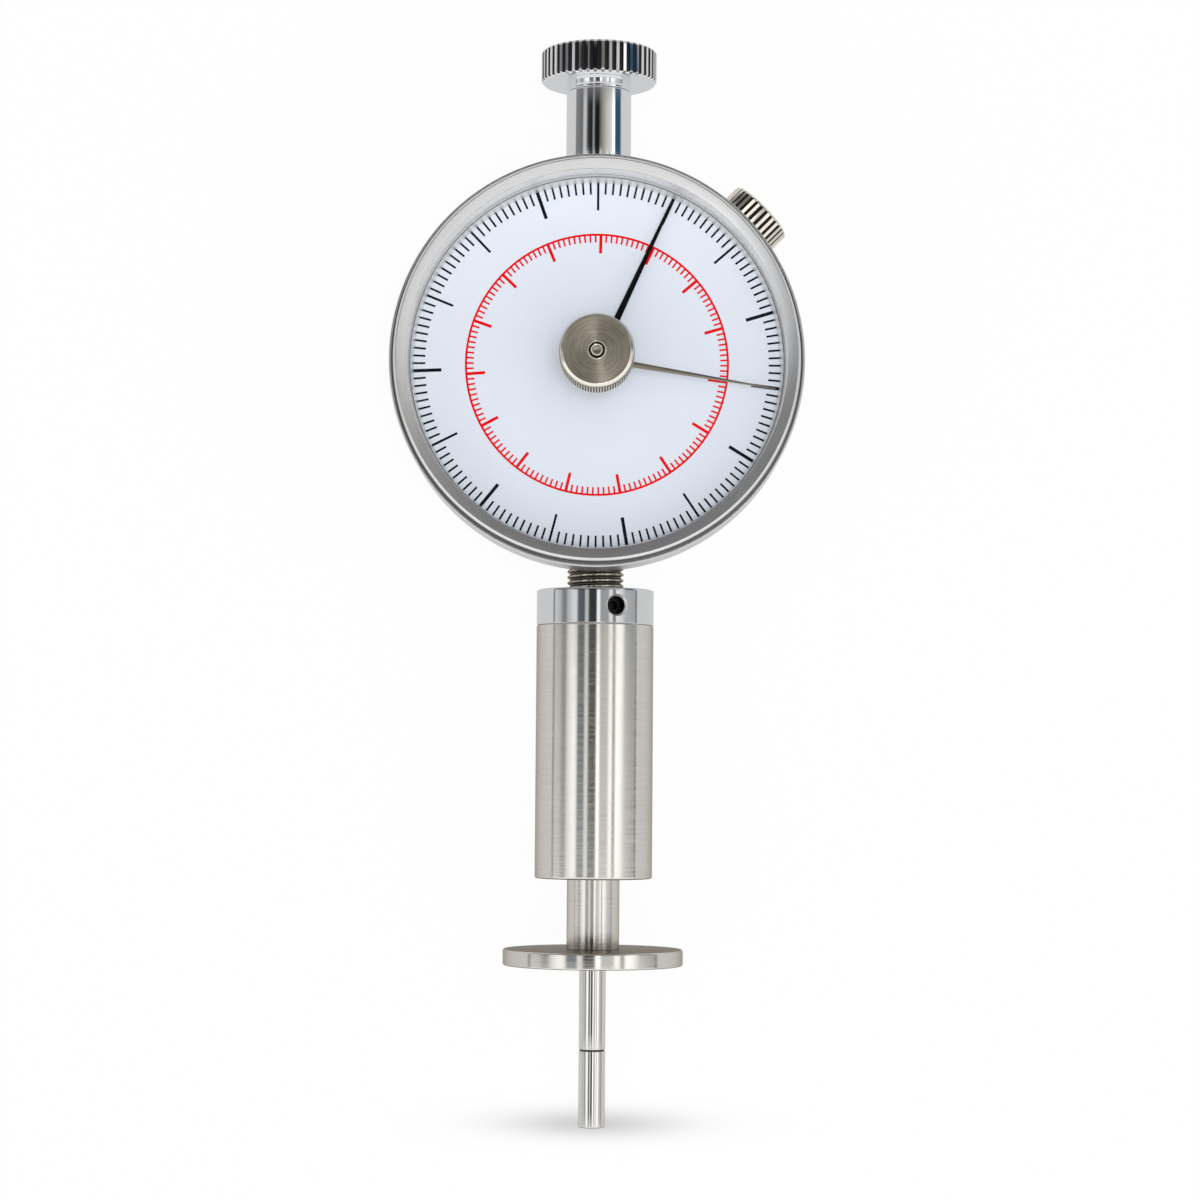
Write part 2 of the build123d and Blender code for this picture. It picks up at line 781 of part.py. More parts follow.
with BuildPart() as outer_scale:
    with BuildSketch(Plane.XY.offset(dial_z)):
        Circle(dial_r)
        Circle(bezel_lip_r + outer_overlap / 2, mode=Mode.SUBTRACT)
        tick_end = bezel_lip_r + outer_overlap
        with tick_places(tick_end - outer_tick_length / 2, tick_angles(outer_divisions, 0, 1)):
            Rectangle(outer_tick_length, outer_tick_width)
        major_angles = tick_angles(outer_divisions, 0, 10)
        with tick_places(tick_end - outer_major_length / 2, major_angles):
            Rectangle(outer_major_length, outer_major_width)
        strong_angles = [90 - division * 360 / outer_divisions for division in outer_strong_divisions]
        with tick_places(tick_end - outer_major_length / 2, strong_angles):
            Rectangle(outer_major_length, outer_strong_width)
    extrude(amount=print_t)
save(outer_scale.part, "outer_scale")

with BuildPart() as inner_scale:
    with BuildSketch(Plane.XY.offset(dial_z)):
        Circle(inner_circle_r + inner_line / 2)
        Circle(inner_circle_r - inner_line / 2, mode=Mode.SUBTRACT)
        tick_lines = tick_angles(inner_divisions, inner_start_angle, 1)
        with tick_places(inner_circle_r - inner_tick_length / 2, tick_lines):
            Rectangle(inner_tick_length, inner_tick_width)
        with tick_places(inner_circle_r - inner_major_length / 2, tick_lines[::10]):
            Rectangle(inner_major_length, inner_major_width)
    extrude(amount=print_t)
save(inner_scale.part, "inner_scale")

# Stem: the tube that covers the rod's upper travel, screwed into the case and held by a nut
with BuildPart() as stem:
    with BuildSketch(along(-neck_inside)):
        Circle(neck_thread_r)
    extrude(amount=boss_y + neck_inside)
    with BuildSketch(along(boss_y + seat_fit)):
        Circle(boss_r)
    extrude(amount=stem_length - seat_fit)
    with BuildSketch(along(boss_y)):
        Circle(neck_thread_r)
    extrude(amount=seat_fit)
    stem_run = stem_top - nut_inside + 2 * overcut
    add(round_bar(along(nut_inside - overcut), stem_run, stem_bore_r), mode=Mode.SUBTRACT)
save(stem.part, "stem")

with BuildPart() as stem_nut:
    add(hex_nut(pad_y - seat_fit, nut_inside, neck_thread_r + screw_fit))
save(stem_nut.part, "stem_nut")

with BuildPart() as stem_bush:
    add(
        round_bar(along(-neck_inside), bush_length, stem_bore_r - seat_fit, rod_r + running_fit)
    )
save(stem_bush.part, "stem_bush")

# End knob: a fluted disc on a short boss, with a stud that screws into the stem
with BuildPart() as end_knob:
    with BuildSketch(along(end_knob_bottom)):
        Circle(end_knob_r)
    extrude(amount=end_knob_height)
    chamfer(end_knob.edges(), end_knob_edge)
    with BuildSketch(along(end_knob_bottom)):
        with PolarLocations(end_knob_r + end_knob_flute_r / 3, end_knob_flutes):
            Circle(end_knob_flute_r)
    extrude(amount=end_knob_height, mode=Mode.SUBTRACT)
    with BuildSketch(along(stem_top + running_fit)):
        Circle(boss_r)
    extrude(amount=end_knob_boss_height - running_fit)
    with BuildSketch(along(stud_bottom)):
        Circle(stem_bore_r - running_fit)
    extrude(amount=stem_top + running_fit - stud_bottom)
save(end_knob.part, "end_knob")

# Lock screw: a fluted head outside the case, and a waisted shank whose cone lifts the brake pin
lock_waist_r = lock_shank_r - lock_waist_depth
lock_tip = case_bore_r - lock_tip_inset
waist_half = brake_pin_r + running_fit
with BuildPart() as lock_screw:
    with BuildSketch(lock_at(lock_head_inner)):
        Circle(lock_head_r)
    extrude(amount=lock_head_height)
    chamfer(lock_screw.edges(), lock_head_edge)
    with BuildSketch(lock_at(lock_head_inner)):
        with PolarLocations(lock_head_r + lock_flute_r / 3, lock_screw_flutes):
            Circle(lock_flute_r)
    extrude(amount=lock_head_height, mode=Mode.SUBTRACT)
    revolve(
        section(
            lock_section,
            (0, lock_tip),
            (lock_waist_r, lock_tip),
            (lock_shank_r, lock_tip + lock_waist_depth),
            (lock_shank_r, brake_pin_at - waist_half - lock_waist_depth),
            (lock_waist_r, brake_pin_at - waist_half),
            (lock_waist_r, brake_pin_at + waist_half),
            (lock_shank_r, lock_head_inner),
            (0, lock_head_inner),
        ),
        axis=lock_axis,
    )
save(lock_screw.part, "lock_screw")

with BuildPart() as brake_pin:
    with BuildSketch(Plane.XY.offset(axis_z + lock_waist_r + running_fit)):
        with Locations((brake_x, brake_y)):
            Circle(brake_pin_r)
    extrude(amount=bezel_bottom - running_fit - axis_z - lock_waist_r - running_fit)
save(brake_pin.part, "brake_pin")

# Movement plates, stacked on spacers and held by four long screws in the case's web
spacer_points = [polar_point(spacer_circle_r, a) for a in spacer_angles]


def plate(z, holes):
    """A round movement plate with the four screw holes and a list of (x, y, radius) holes."""
    with BuildPart() as blank:
        with BuildSketch(Plane.XY.offset(z)):
            Circle(plate_r)
            with Locations(*spacer_points):
                Circle(screw_r + screw_fit, mode=Mode.SUBTRACT)
            for x, y, r in holes:
                with Locations((x, y)):
                    Circle(r, mode=Mode.SUBTRACT)
        extrude(amount=plate_t)
    return blank.part


def spacers(low, high):
    """Four spacer tubes between two heights."""
    with BuildPart() as tubes:
        with BuildSketch(Plane.XY.offset(low)):
            with Locations(*spacer_points):
                Circle(spacer_r)
                Circle(screw_r + screw_fit, mode=Mode.SUBTRACT)
        extrude(amount=high - low)
    return tubes.part


head_depth = plate_t * screw_head_share
with BuildPart() as rear_plate:
    add(plate(rear_plate_z, [(arbor_x, arbor_y, pivot_r + pivot_fit)]))
save(rear_plate.part, "rear_plate")

pinion_clear_r = arbor_r + arbor_hole_play
with BuildPart() as middle_plate:
    add(plate(middle_plate_z, [(arbor_x, arbor_y, pinion_clear_r), (0, 0, pivot_r + pivot_fit)]))
save(middle_plate.part, "middle_plate")

with BuildPart() as front_plate:
    add(plate(front_plate_z, [(arbor_x, arbor_y, pivot_r + pivot_fit), (0, 0, arbor_r + pivot_fit)]))
    with BuildSketch(Plane.XY.offset(front_plate_top)):
        with Locations(*spacer_points):
            Circle(screw_head_r + running_fit)
    extrude(amount=-head_depth, mode=Mode.SUBTRACT)
save(front_plate.part, "front_plate")

with BuildPart() as lower_spacers:
    add(spacers(web_top, rear_plate_z))
save(lower_spacers.part, "lower_spacers")

with BuildPart() as middle_spacers:
    add(spacers(rear_plate_top, middle_plate_z))
save(middle_spacers.part, "middle_spacers")

with BuildPart() as upper_spacers:
    add(spacers(middle_plate_top, front_plate_z))
save(upper_spacers.part, "upper_spacers")

with BuildPart() as movement_screws:
    with BuildSketch(Plane.XY.offset(front_plate_top - head_depth)):
        with Locations(*spacer_points):
            Circle(screw_head_r)
    extrude(amount=head_depth - running_fit)
    with BuildSketch(Plane.XY.offset(front_plate_top)):
        with Locations(*spacer_points):
            Rectangle(3 * screw_head_r, slot_width)
    extrude(amount=-slot_depth, mode=Mode.SUBTRACT)
    with BuildSketch(Plane.XY.offset(cover_t + face_gap)):
        with Locations(*spacer_points):
            Circle(screw_r)
    extrude(amount=front_plate_top - head_depth - cover_t - face_gap)
save(movement_screws.part, "movement_screws")

# Rack guide: a block on the rear plate with a slot for the guide pin
with BuildPart() as rack_guide:
    with BuildSketch(Plane.XY.offset(rear_plate_top)):
        with Locations((0, guide_pin_y + plunger_travel / 2)):
            slot_half = plunger_travel / 2 + guide_pin_r + face_gap
            Rectangle(2 * rod_r, 2 * (slot_half + guide_block_end))
            Rectangle(2 * (guide_pin_r + running_fit), 2 * slot_half, mode=Mode.SUBTRACT)
    extrude(amount=axis_z - rod_r - guide_block_gap - rear_plate_top)
save(rack_guide.part, "rack_guide")

# Pinion arbor: pinion and arbor cut from one bar, pivoted in the rear and front plates
arbor_centre = Plane(origin=(arbor_x, arbor_y, 0))


def arbor_at(z):
    """A horizontal plane on the pinion arbor's axis."""
    return arbor_centre.offset(z)


half_tooth = 180 / rack_pinion_teeth
with BuildPart() as pinion_arbor:
    add(round_bar(arbor_at(rear_plate_z), front_plate_top - rear_plate_z, pivot_r))
    add(round_bar(arbor_at(rear_plate_top + running_fit),
                  front_plate_z - rear_plate_top - 2 * running_fit, arbor_r))
    pinion_teeth_profile = gear_profile(
        arbor_at(axis_z - pinion_face / 2), rack_module, rack_pinion_teeth, half_tooth
    )
    extrude(pinion_teeth_profile, amount=pinion_face)
save(pinion_arbor.part, "pinion_arbor")

wheel_z = middle_plate_top + wheel_above_plate
with BuildPart() as transfer_wheel:
    extrude(gear_profile(arbor_at(wheel_z), wheel_module, wheel_teeth, mesh_angle), amount=wheel_t)
    add(round_bar(arbor_at(wheel_z), wheel_t, arbor_r + seat_fit), mode=Mode.SUBTRACT)
save(transfer_wheel.part, "transfer_wheel")

# Centre arbor: carries the driving hand, pivoted in the middle and front plates
centre_low = middle_plate_top + running_fit
hand_hub_z = dial_z + driving_hand_hub_above_dial
centre_tooth = mesh_angle + 180 + 180 / centre_pinion_teeth
with BuildPart() as centre_arbor:
    add(round_bar(Plane.XY.offset(middle_plate_z), hand_hub_z + arbor_past_hub - middle_plate_z, pivot_r))
    add(round_bar(Plane.XY.offset(centre_low), hand_hub_z - hand_hub_t - centre_low, arbor_r))
    extrude(
        gear_profile(
            Plane.XY.offset(wheel_z + wheel_t / 2 - centre_pinion_face / 2),
            wheel_module, centre_pinion_teeth, centre_tooth,
        ),
        amount=centre_pinion_face,
    )
save(centre_arbor.part, "centre_arbor")

# Hairspring: a flat spiral of half rings about two centres, from the collet to the stud
spring_z = front_plate_z - strip_below_plate - strip_height
with BuildPart() as hairspring:
    with BuildSketch(Plane.XY.offset(spring_z)):
        for number in range(half_coils):
            coil_r = first_coil_r + number * coil_pitch / 2
            shift = coil_pitch / 2 if number % 2 else 0
            with BuildLine():
                outside = CenterArc((shift, 0), coil_r + strip_t / 2, 180 * (number % 2), 180)
                inside = CenterArc((shift, 0), coil_r - strip_t / 2, 180 * (number % 2), 180)
                Line(outside @ 0, inside @ 0)
                Line(outside @ 1, inside @ 1)
            make_face()
    extrude(amount=strip_height)
save(hairspring.part, "hairspring")

with BuildPart() as hairspring_collet:
    add(round_bar(Plane.XY.offset(spring_z - face_gap / 2), strip_height + face_gap,
                  first_coil_r - 2 * strip_t, arbor_r + seat_fit))
save(hairspring_collet.part, "hairspring_collet")

last_coil_r = first_coil_r + (half_coils - 1) * coil_pitch / 2
stud_x = -last_coil_r - strip_t / 2 - seat_fit
with BuildPart() as hairspring_stud:
    with BuildSketch(Plane.XY.offset(spring_z)):
        with Locations((stud_x - spring_stud_width / 2, 0)):
            Rectangle(spring_stud_width, spring_stud_length)
    extrude(amount=front_plate_z - spring_z)
save(hairspring_stud.part, "hairspring_stud")

# Hands: each blade slopes down to the dial, and the peak hand's lug hangs just over the driving hand
with BuildPart() as driving_hand:
    add(
        hand_blade(
            driving_hand_angle, hand_hub_z, dial_z + driving_hand_tip_above_dial,
            driving_hand_root_width, driving_hand_tip_width,
        )
    )
    add(round_bar(Plane.XY.offset(hand_hub_z - hand_hub_t / 2), hand_hub_t, driving_hand_hub_r))
    add(
        round_bar(Plane.XY.offset(hand_hub_z - hand_hub_t), 2 * hand_hub_t, pivot_r + seat_fit),
        mode=Mode.SUBTRACT,
    )
save(driving_hand.part, "driving_hand")

peak_hub_z = dial_z + peak_hand_hub_above_dial
peak_tip_z = dial_z + peak_hand_tip_above_dial
peak_fall = (peak_hub_z - peak_tip_z) * lug_radius / hand_length
driving_fall = (hand_hub_z - dial_z - driving_hand_tip_above_dial) * lug_radius / hand_length
lug_bottom = hand_hub_z - driving_fall + hand_t / 2 + lug_gap
lug_x, lug_y = polar_point(lug_radius, 90 - peak_hand_angle)
with BuildPart() as peak_hand:
    add(
        hand_blade(
            peak_hand_angle, peak_hub_z, peak_tip_z, peak_hand_root_width, peak_hand_tip_width
        )
    )
    add(round_bar(Plane.XY.offset(peak_hub_z - hand_hub_t / 2), hand_hub_t, peak_hand_hub_r))
    with BuildSketch(Plane.XY.offset(lug_bottom)):
        with Locations((lug_x, lug_y)):
            Circle(lug_r)
    extrude(amount=peak_hub_z - peak_fall - lug_bottom)
    add(
        round_bar(Plane.XY.offset(peak_hub_z - hand_hub_t), 2 * hand_hub_t, spindle_r + seat_fit),
        mode=Mode.SUBTRACT,
    )
save(peak_hand.part, "peak_hand")

# Reset knob: a turned button in front of the crystal, on the spindle that carries the peak hand
bore_r = spindle_r + screw_fit
rim_inner_r = reset_knob_face_r - reset_knob_rim
recess_z = knob_face - reset_knob_edge
mouth_r = bore_r + crystal_bore_play
with BuildPart() as reset_knob:
    revolve(
        section(
            dial_section,
            (bore_r, knob_base),
            (reset_knob_r, knob_base),
            (reset_knob_r, knob_face - reset_knob_slope),
            (reset_knob_r - reset_knob_edge, knob_face - reset_knob_slope / 2),
            (reset_knob_face_r + 2 * reset_knob_edge, recess_z),
            (reset_knob_face_r, knob_face),
            (rim_inner_r, knob_face),
            (rim_inner_r - reset_knob_edge, recess_z),
            (reset_knob_centre_r, recess_z),
            (reset_knob_centre_r - reset_knob_centre_step, knob_face),
            (mouth_r, knob_face),
            (mouth_r, knob_face - reset_knob_slope / 2),
            (bore_r, knob_face - reset_knob_slope / 2),
        ),
        axis=Axis.Z,
    )
save(reset_knob.part, "reset_knob")

with BuildPart() as reset_spindle:
    revolve(
        section(
            dial_section,
            (0, peak_hub_z - hand_hub_t),
            (spindle_r, peak_hub_z - hand_hub_t),
            (spindle_r, recess_z),
            (spindle_r - reset_knob_edge, knob_face),
            (spindle_dimple_r, knob_face),
            (0, knob_face - spindle_dimple_r),
        ),
        axis=Axis.Z,
    )
save(reset_spindle.part, "reset_spindle")

with BuildPart() as friction_washer:
    washer_plane = Plane.XY.offset(crystal_outside + screw_fit)
    add(round_bar(washer_plane, 2 * (face_gap - screw_fit), friction_washer_r, bore_r))
save(friction_washer.part, "friction_washer")
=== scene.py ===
"""Dresses a fruit firmness tester: turned metal, printed dial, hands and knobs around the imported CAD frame.

Lengths in this file are millimetres until a mesh is made, and every piece stands where its CAD node stands.
"""

import logging
from collections.abc import Callable
from dataclasses import dataclass
from enum import Enum, IntEnum

import bmesh
import bpy
import numpy as np
from mathutils import Matrix, Vector


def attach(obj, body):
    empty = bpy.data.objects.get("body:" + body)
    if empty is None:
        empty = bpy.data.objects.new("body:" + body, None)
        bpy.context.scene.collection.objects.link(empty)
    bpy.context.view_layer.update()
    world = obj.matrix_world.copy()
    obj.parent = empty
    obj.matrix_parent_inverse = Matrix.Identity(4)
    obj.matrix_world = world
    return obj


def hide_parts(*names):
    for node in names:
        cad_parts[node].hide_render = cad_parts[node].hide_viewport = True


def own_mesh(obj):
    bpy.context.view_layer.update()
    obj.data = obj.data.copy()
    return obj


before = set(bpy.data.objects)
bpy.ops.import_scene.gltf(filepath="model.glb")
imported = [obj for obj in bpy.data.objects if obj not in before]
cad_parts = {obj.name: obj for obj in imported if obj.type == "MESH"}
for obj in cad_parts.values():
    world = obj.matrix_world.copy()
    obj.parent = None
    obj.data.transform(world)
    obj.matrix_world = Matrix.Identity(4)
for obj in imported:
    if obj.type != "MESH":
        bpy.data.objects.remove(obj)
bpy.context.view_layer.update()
LOG = logging.getLogger("fruit_firmness_tester")
MM = 0.001
TURN = 2 * np.pi
WELD = 0.0008  # Points of a mesh that are closer than this are welded.
SAME = 1e-6  # Points of a profile that are closer than this are one.
TINY = 1e-9  # Keeps a run of no length from dividing by zero.
REACH_SHARE = 0.45  # The most of a profile's run that the rounding of one corner takes.
DEEP_SHARE = 0.35  # The share of the deepest cut past which a cut counts as deep.
Array = np.ndarray
Triple = tuple[float, float, float]
Pair = tuple[float, float]
Relief = Callable[[Array, Array], Array]
Socket = bpy.types.NodeSocket


@dataclass(frozen=True)
class Spindle:
    """A turning axis: a point on it, its direction, and the direction of angle zero."""

    centre: Triple
    along: Triple
    zero: Triple

    def place(self, axial: Array, radius: Array, angle: Array) -> Array:
        """Turns axis coordinates into points: centre + axial along + radius (cos angle zero + sin angle side).

        Args:
            axial: Distance along the axis.
            radius: Distance from the axis.
            angle: Angle about the axis, in radians; side is along crossed with zero.

        Returns:
            Points, with one more dimension of size 3.
        """
        centre, along, zero = (np.array(v, float) for v in (self.centre, self.along, self.zero))
        side = np.cross(along, zero)
        axial, radius, angle = (a[..., None] for a in np.broadcast_arrays(axial, radius, angle))
        return centre + axial * along + radius * (np.cos(angle) * zero + np.sin(angle) * side)


AXIS_Z = 12.0  # The plunger, the stem and the lock screw lie this high above the back cover's rear face.
ROOT_HALF = float(np.sqrt(0.5))
DIAL_AXIS = Spindle((0, 0, 0), (0, 0, 1), (1, 0, 0))
LONG_AXIS = Spindle((0, 0, AXIS_Z), (0, 1, 0), (0, 0, 1))
LOCK_AXIS = Spindle((0, 0, AXIS_Z), (ROOT_HALF, ROOT_HALF, 0), (0, 0, 1))


class Level(IntEnum):
    """The finish number of a face: the piece's own finish, or its first, second or third inner one; the first paints
    shade, the others light or shade.
    """

    OWN = 0
    SHADE = 1
    SECOND = 2
    THIRD = 3


@dataclass
class Shell:
    """Vertices and four-cornered faces of a surface, in millimetres, and the finish number of each face."""

    vertices: Array
    faces: Array
    levels: Array

    def __add__(self, other: "Shell") -> "Shell":
        """Both surfaces as one."""
        faces = np.vstack([self.faces, other.faces + len(self.vertices)])
        return Shell(np.vstack([self.vertices, other.vertices]), faces, np.r_[self.levels, other.levels])


def grid(
    points: Array, ring_rows: bool, ring_columns: bool, keep: Array | None = None, marks: Array | None = None
) -> Shell:
    """Joins a table of points into quads: face (i, j) has the corners (i, j), (i, j+1), (i+1, j+1), (i+1, j).

    Args:
        points: Table of points, rows by columns by 3.
        ring_rows: Whether the last row joins the first.
        ring_columns: Whether the last column joins the first.
        keep: Mask of the faces to keep, or None for all.
        marks: A finish number at each point; a face takes the lowest of its corners' numbers.

    Returns:
        The surface.
    """
    rows, columns = points.shape[:2]
    index = np.arange(rows * columns).reshape(rows, columns)
    if ring_rows:
        index = np.vstack([index, index[:1]])
    if ring_columns:
        index = np.hstack([index, index[:, :1]])
    quads = np.stack([index[:-1, :-1], index[:-1, 1:], index[1:, 1:], index[1:, :-1]], axis=-1)
    quads = (quads[keep] if keep is not None else quads).reshape(-1, 4)
    level = np.broadcast_to(Level.OWN if marks is None else marks, (rows, columns)).ravel()
    return Shell(points.reshape(-1, 3), quads, level[quads].min(1))


def soften(corners: tuple[Triple, ...], closed: bool, steps: int = 6) -> Array:
    """Rounds a profile's corners with the curve (1-t)^2 A + 2t(1-t) P + t^2 B round each corner P.

    Args:
        corners: Radius, axial place and rounding reach of each corner.
        closed: Whether the last corner joins the first.
        steps: Points on each rounded corner.

    Returns:
        Radius and axial place of each point of the finished profile.
    """
    table = np.array(corners, float)
    points, reach = table[:, :2], table[:, 2]
    before = np.roll(points, 1, axis=0) - points
    after = np.roll(points, -1, axis=0) - points
    run_before, run_after = (np.linalg.norm(v, axis=1) + TINY for v in (before, after))
    cut = np.minimum(reach, REACH_SHARE * np.minimum(run_before, run_after))
    if not closed:
        cut[[0, -1]] = 0
    start = points + before * (cut / run_before)[:, None]
    end = points + after * (cut / run_after)[:, None]
    t = np.linspace(0, 1, steps)[None, :, None]
    curve = (1 - t) ** 2 * start[:, None] + 2 * t * (1 - t) * points[:, None] + t**2 * end[:, None]
    curve = curve.reshape(-1, 2)
    moved = np.linalg.norm(np.diff(curve, axis=0), axis=1) > SAME
    return curve[np.r_[True, moved]]


def full_turn(count: int) -> Array:
    """Angles of a full turn in equal steps."""
    return np.linspace(0, TURN, count, endpoint=False)


def turned(
    spindle: Spindle, profile: Array, closed: bool, angles: Array, relief: Relief | None = None,
    marks: Array | None = None,
) -> Shell:
    """Turns a profile about a spindle: the radius at row i, column j is the profile's less the relief there.

    Points at a deep cut get the number of the painted shade.

    Args:
        spindle: The turning axis.
        profile: Radius and axial place of each row.
        closed: Whether the profile is a ring, as in a tube; otherwise its ends lie on the axis.
        angles: Angle of each column.
        relief: Depth of the cut for the profile's rows and a row of angles.
        marks: A column with each row's finish number, or None.

    Returns:
        The surface.
    """
    axial = profile[:, 1:]
    radius = profile[:, :1]
    if relief is not None:
        cut = relief(profile, angles[None, :])
        radius = radius - cut
        # Deep cuts get the painted shade finish.
        marks = np.where(cut > DEEP_SHARE * cut.max(), Level.SHADE, Level.OWN if marks is None else marks)
    return grid(spindle.place(axial, radius, angles[None, :]), closed, True, marks=marks)


def rows_between(profile: Array, radii: Pair, heights: Pair) -> Array:
    """Picks the rows of a profile whose points lie in a box.

    Args:
        profile: Radius and axial place of each row.
        radii: Least and greatest radius of the box.
        heights: Least and greatest axial place of the box.

    Returns:
        A column with one for each row inside and zero for the others.
    """
    radius, axial = profile[:, 0], profile[:, 1]
    inside = (radius >= radii[0]) & (radius <= radii[1]) & (axial >= heights[0]) & (axial <= heights[1])
    return inside.astype(int)[:, None]


@dataclass(frozen=True)
class Flutes:
    """Straight cuts round a knob: half-round grooves between flat lands.

    The share is half a groove's width as a part of one flute. Rows between low and high that lie further out
    than the inner radius are cut, and the points are the columns on each groove and on each land.
    """

    count: int
    depth: float
    share: float
    low: float
    high: float
    inner_r: float
    groove_points: int = 9
    land_points: int = 3

    def angles(self) -> Array:
        """Columns set close where a groove meets its land: turn (groove number + offset) / count.

        Returns:
            The angle of each column.
        """
        groove = np.sin(np.linspace(-0.5, 0.5, self.groove_points) * np.pi) * self.share
        land = np.linspace(self.share, 1 - self.share, self.land_points + 2)[1:-1]
        offsets = np.r_[groove, land] / self.count
        return ((np.arange(self.count) / self.count)[:, None] + offsets[None, :]).ravel() * TURN

    def __call__(self, profile: Array, angles: Array) -> Array:
        """Cuts by depth times the root of 1 - (phase / share)^2, on the rows between low and high.

        Args:
            profile: Radius and axial place of each row.
            angles: A row of angles; the phase is the part of a flute from a groove's middle.

        Returns:
            Depth of the cut at each row and angle.
        """
        phase = (angles / TURN * self.count + 0.5) % 1 - 0.5
        groove = np.sqrt(np.clip(1 - (phase / self.share) ** 2, 0, 1))
        radius, axial = profile[:, :1], profile[:, 1:]
        cut = (axial >= self.low) & (axial <= self.high) & (radius > self.inner_r)
        return self.depth * groove * cut


@dataclass(frozen=True)
class ScrewThread:
    """A helical thread: a triangle wave along the axis, flat at crest and root, that moves one pitch each turn.

    Of each half pitch, the crest is the share that stays uncut, and the flank the share over which the cut
    deepens. Rows within the inner radius are never cut.
    """

    pitch: float
    depth: float
    low: float
    high: float
    inner_r: float
    crest: float = 0.25
    flank: float = 0.6
    run_out: float = 0.15

    def __call__(self, profile: Array, angles: Array) -> Array:
        """Cuts by depth times the wave of axial / pitch - angle / turn, faded in over the run-out at both ends.

        The wave is zero on the crest, rises over the flank, and is one at the root.

        Args:
            profile: Radius and axial place of each row.
            angles: A row of angles.

        Returns:
            Depth of the cut at each row and angle.
        """
        radius, axial = profile[:, :1], profile[:, 1:]
        phase = (axial / self.pitch - angles / TURN) % 1
        wave = np.clip((1 - np.abs(2 * phase - 1) - self.crest) / self.flank, 0, 1)
        fade_in = np.clip((axial - self.low) / self.run_out, 0, 1)
        fade_out = np.clip((self.high - axial) / self.run_out, 0, 1)
        return self.depth * wave * fade_in * fade_out * (radius > self.inner_r)


@dataclass(frozen=True)
class Blade:
    """A tapered hand with a raised middle line, from its hub to its tip.

    Heights are those of the middle, and heights and widths are given at the dial's axis and at the tip.
    """

    angle: float
    start: float
    reach: float
    heights: Pair
    widths: Pair
    thickness: float
    ridge: float
    rows: int = 12
    shoulder: float = 0.9

    def shell(self) -> Shell:
        """Each row is a flat section with eight corners, and both end rows close up.

        A point lies at out (sin a, cos a) + side (cos a, -sin a) for the clock angle a.

        Returns:
            The closed surface.
        """
        share = np.linspace(self.start / self.reach, 1, self.rows)
        share = np.r_[share[0], share, share[-1]]
        closed_up = np.ones(len(share))
        closed_up[[0, -1]] = 0
        across = np.array([-1, -self.shoulder, 0, self.shoulder, 1, self.shoulder, 0, -self.shoulder]) / 2
        up = np.array([0, 1, 1, 1, 0, -1, -1, -1]) * self.thickness / 2
        up[2] += self.ridge
        width = (self.widths[0] + (self.widths[1] - self.widths[0]) * share) * closed_up
        middle = self.heights[0] + (self.heights[1] - self.heights[0]) * share
        east, north = np.sin(np.radians(self.angle)), np.cos(np.radians(self.angle))
        side = width[:, None] * across[None, :]
        out = (share * self.reach)[:, None]
        height = middle[:, None] + up * closed_up[:, None]
        return grid(np.stack([out * east + side * north, out * north - side * east, height], axis=-1), False, True)


@dataclass(frozen=True)
class Metal:
    """A turned or polished metal: its colour, gloss, the fine lines that the tool left round its axis, and a painted
    dark reflection down its middle where asked.
    """

    name: str
    colour: Triple
    roughness: float
    roughness_range: float = 0.05
    axis: Spindle = LONG_AXIS
    line_density: float = 5200.0
    line_stretch: float = 0.05
    line_depth: float = 0.15
    line_rise: float = 0.03
    line_tone: float = 0.0
    stain: float = 0.04
    stain_density: float = 180.0
    anisotropy: float = 0.0
    edge_tint: Triple = (1.0, 1.0, 1.0)
    # The tone of a painted dark reflection down the middle, and the distances from x = 0 over which it gives way.
    painted_reflection_tone: float = 1.0
    painted_reflection_half: Pair = (3.3, 5.3)

    def make(self) -> bpy.types.Material:
        """Builds the finish: noise that hardly changes round the axis gives the lines, and slow noise the stain.

        The colour's tone is one near the sides and the painted reflection's tone within the first distance from x =
        0.

        Returns:
            The material.
        """
        bench = Bench(self.name)
        shader = bench.shader
        bench.set(shader, {"Metallic": 1.0, "Anisotropic": self.anisotropy, "Anisotropic Rotation": 0.25})
        bench.set(shader, {"Specular Tint": (*self.edge_tint, 1.0)})
        around = bench.axis_coordinates(self.axis, self.line_stretch)
        lines = bench.noise(around, self.line_density, detail=3.0, roughness=0.65)
        slow = bench.noise(bench.object_coordinates(), self.stain_density, detail=2.0, roughness=0.5)
        tone = bench.maths("MULTIPLY_ADD", slow, self.stain * 2, 1 - self.stain - self.line_tone / 2)
        tone = bench.maths("MULTIPLY_ADD", lines, self.line_tone, tone)
        # Painted dark reflection: the colour darkens near x = 0, down the middle of the piece.
        if self.painted_reflection_tone < 1:
            across = bench.maths("ABSOLUTE", bench.split(bench.object_coordinates())["X"])
            side = bench.ease(across, self.painted_reflection_half[0] * MM, self.painted_reflection_half[1] * MM)
            share = bench.maths("MULTIPLY_ADD", side, 1 - self.painted_reflection_tone, self.painted_reflection_tone)
            tone = bench.maths("MULTIPLY", tone, share)
        bench.feed(bench.tinted(self.colour, tone), shader.inputs["Base Color"])
        rough = bench.maths("MULTIPLY_ADD", lines, self.roughness_range, self.roughness - self.roughness_range / 2)
        bench.feed(rough, shader.inputs["Roughness"])
        bench.bumped(lines, self.line_depth, self.line_rise)
        if self.anisotropy:
            tangent = bench.node("ShaderNodeTangent")
            tangent.direction_type, tangent.axis = "RADIAL", "Z" if self.axis is DIAL_AXIS else "Y"
            bench.feed(tangent.outputs["Tangent"], shader.inputs["Tangent"])
        return bench.material


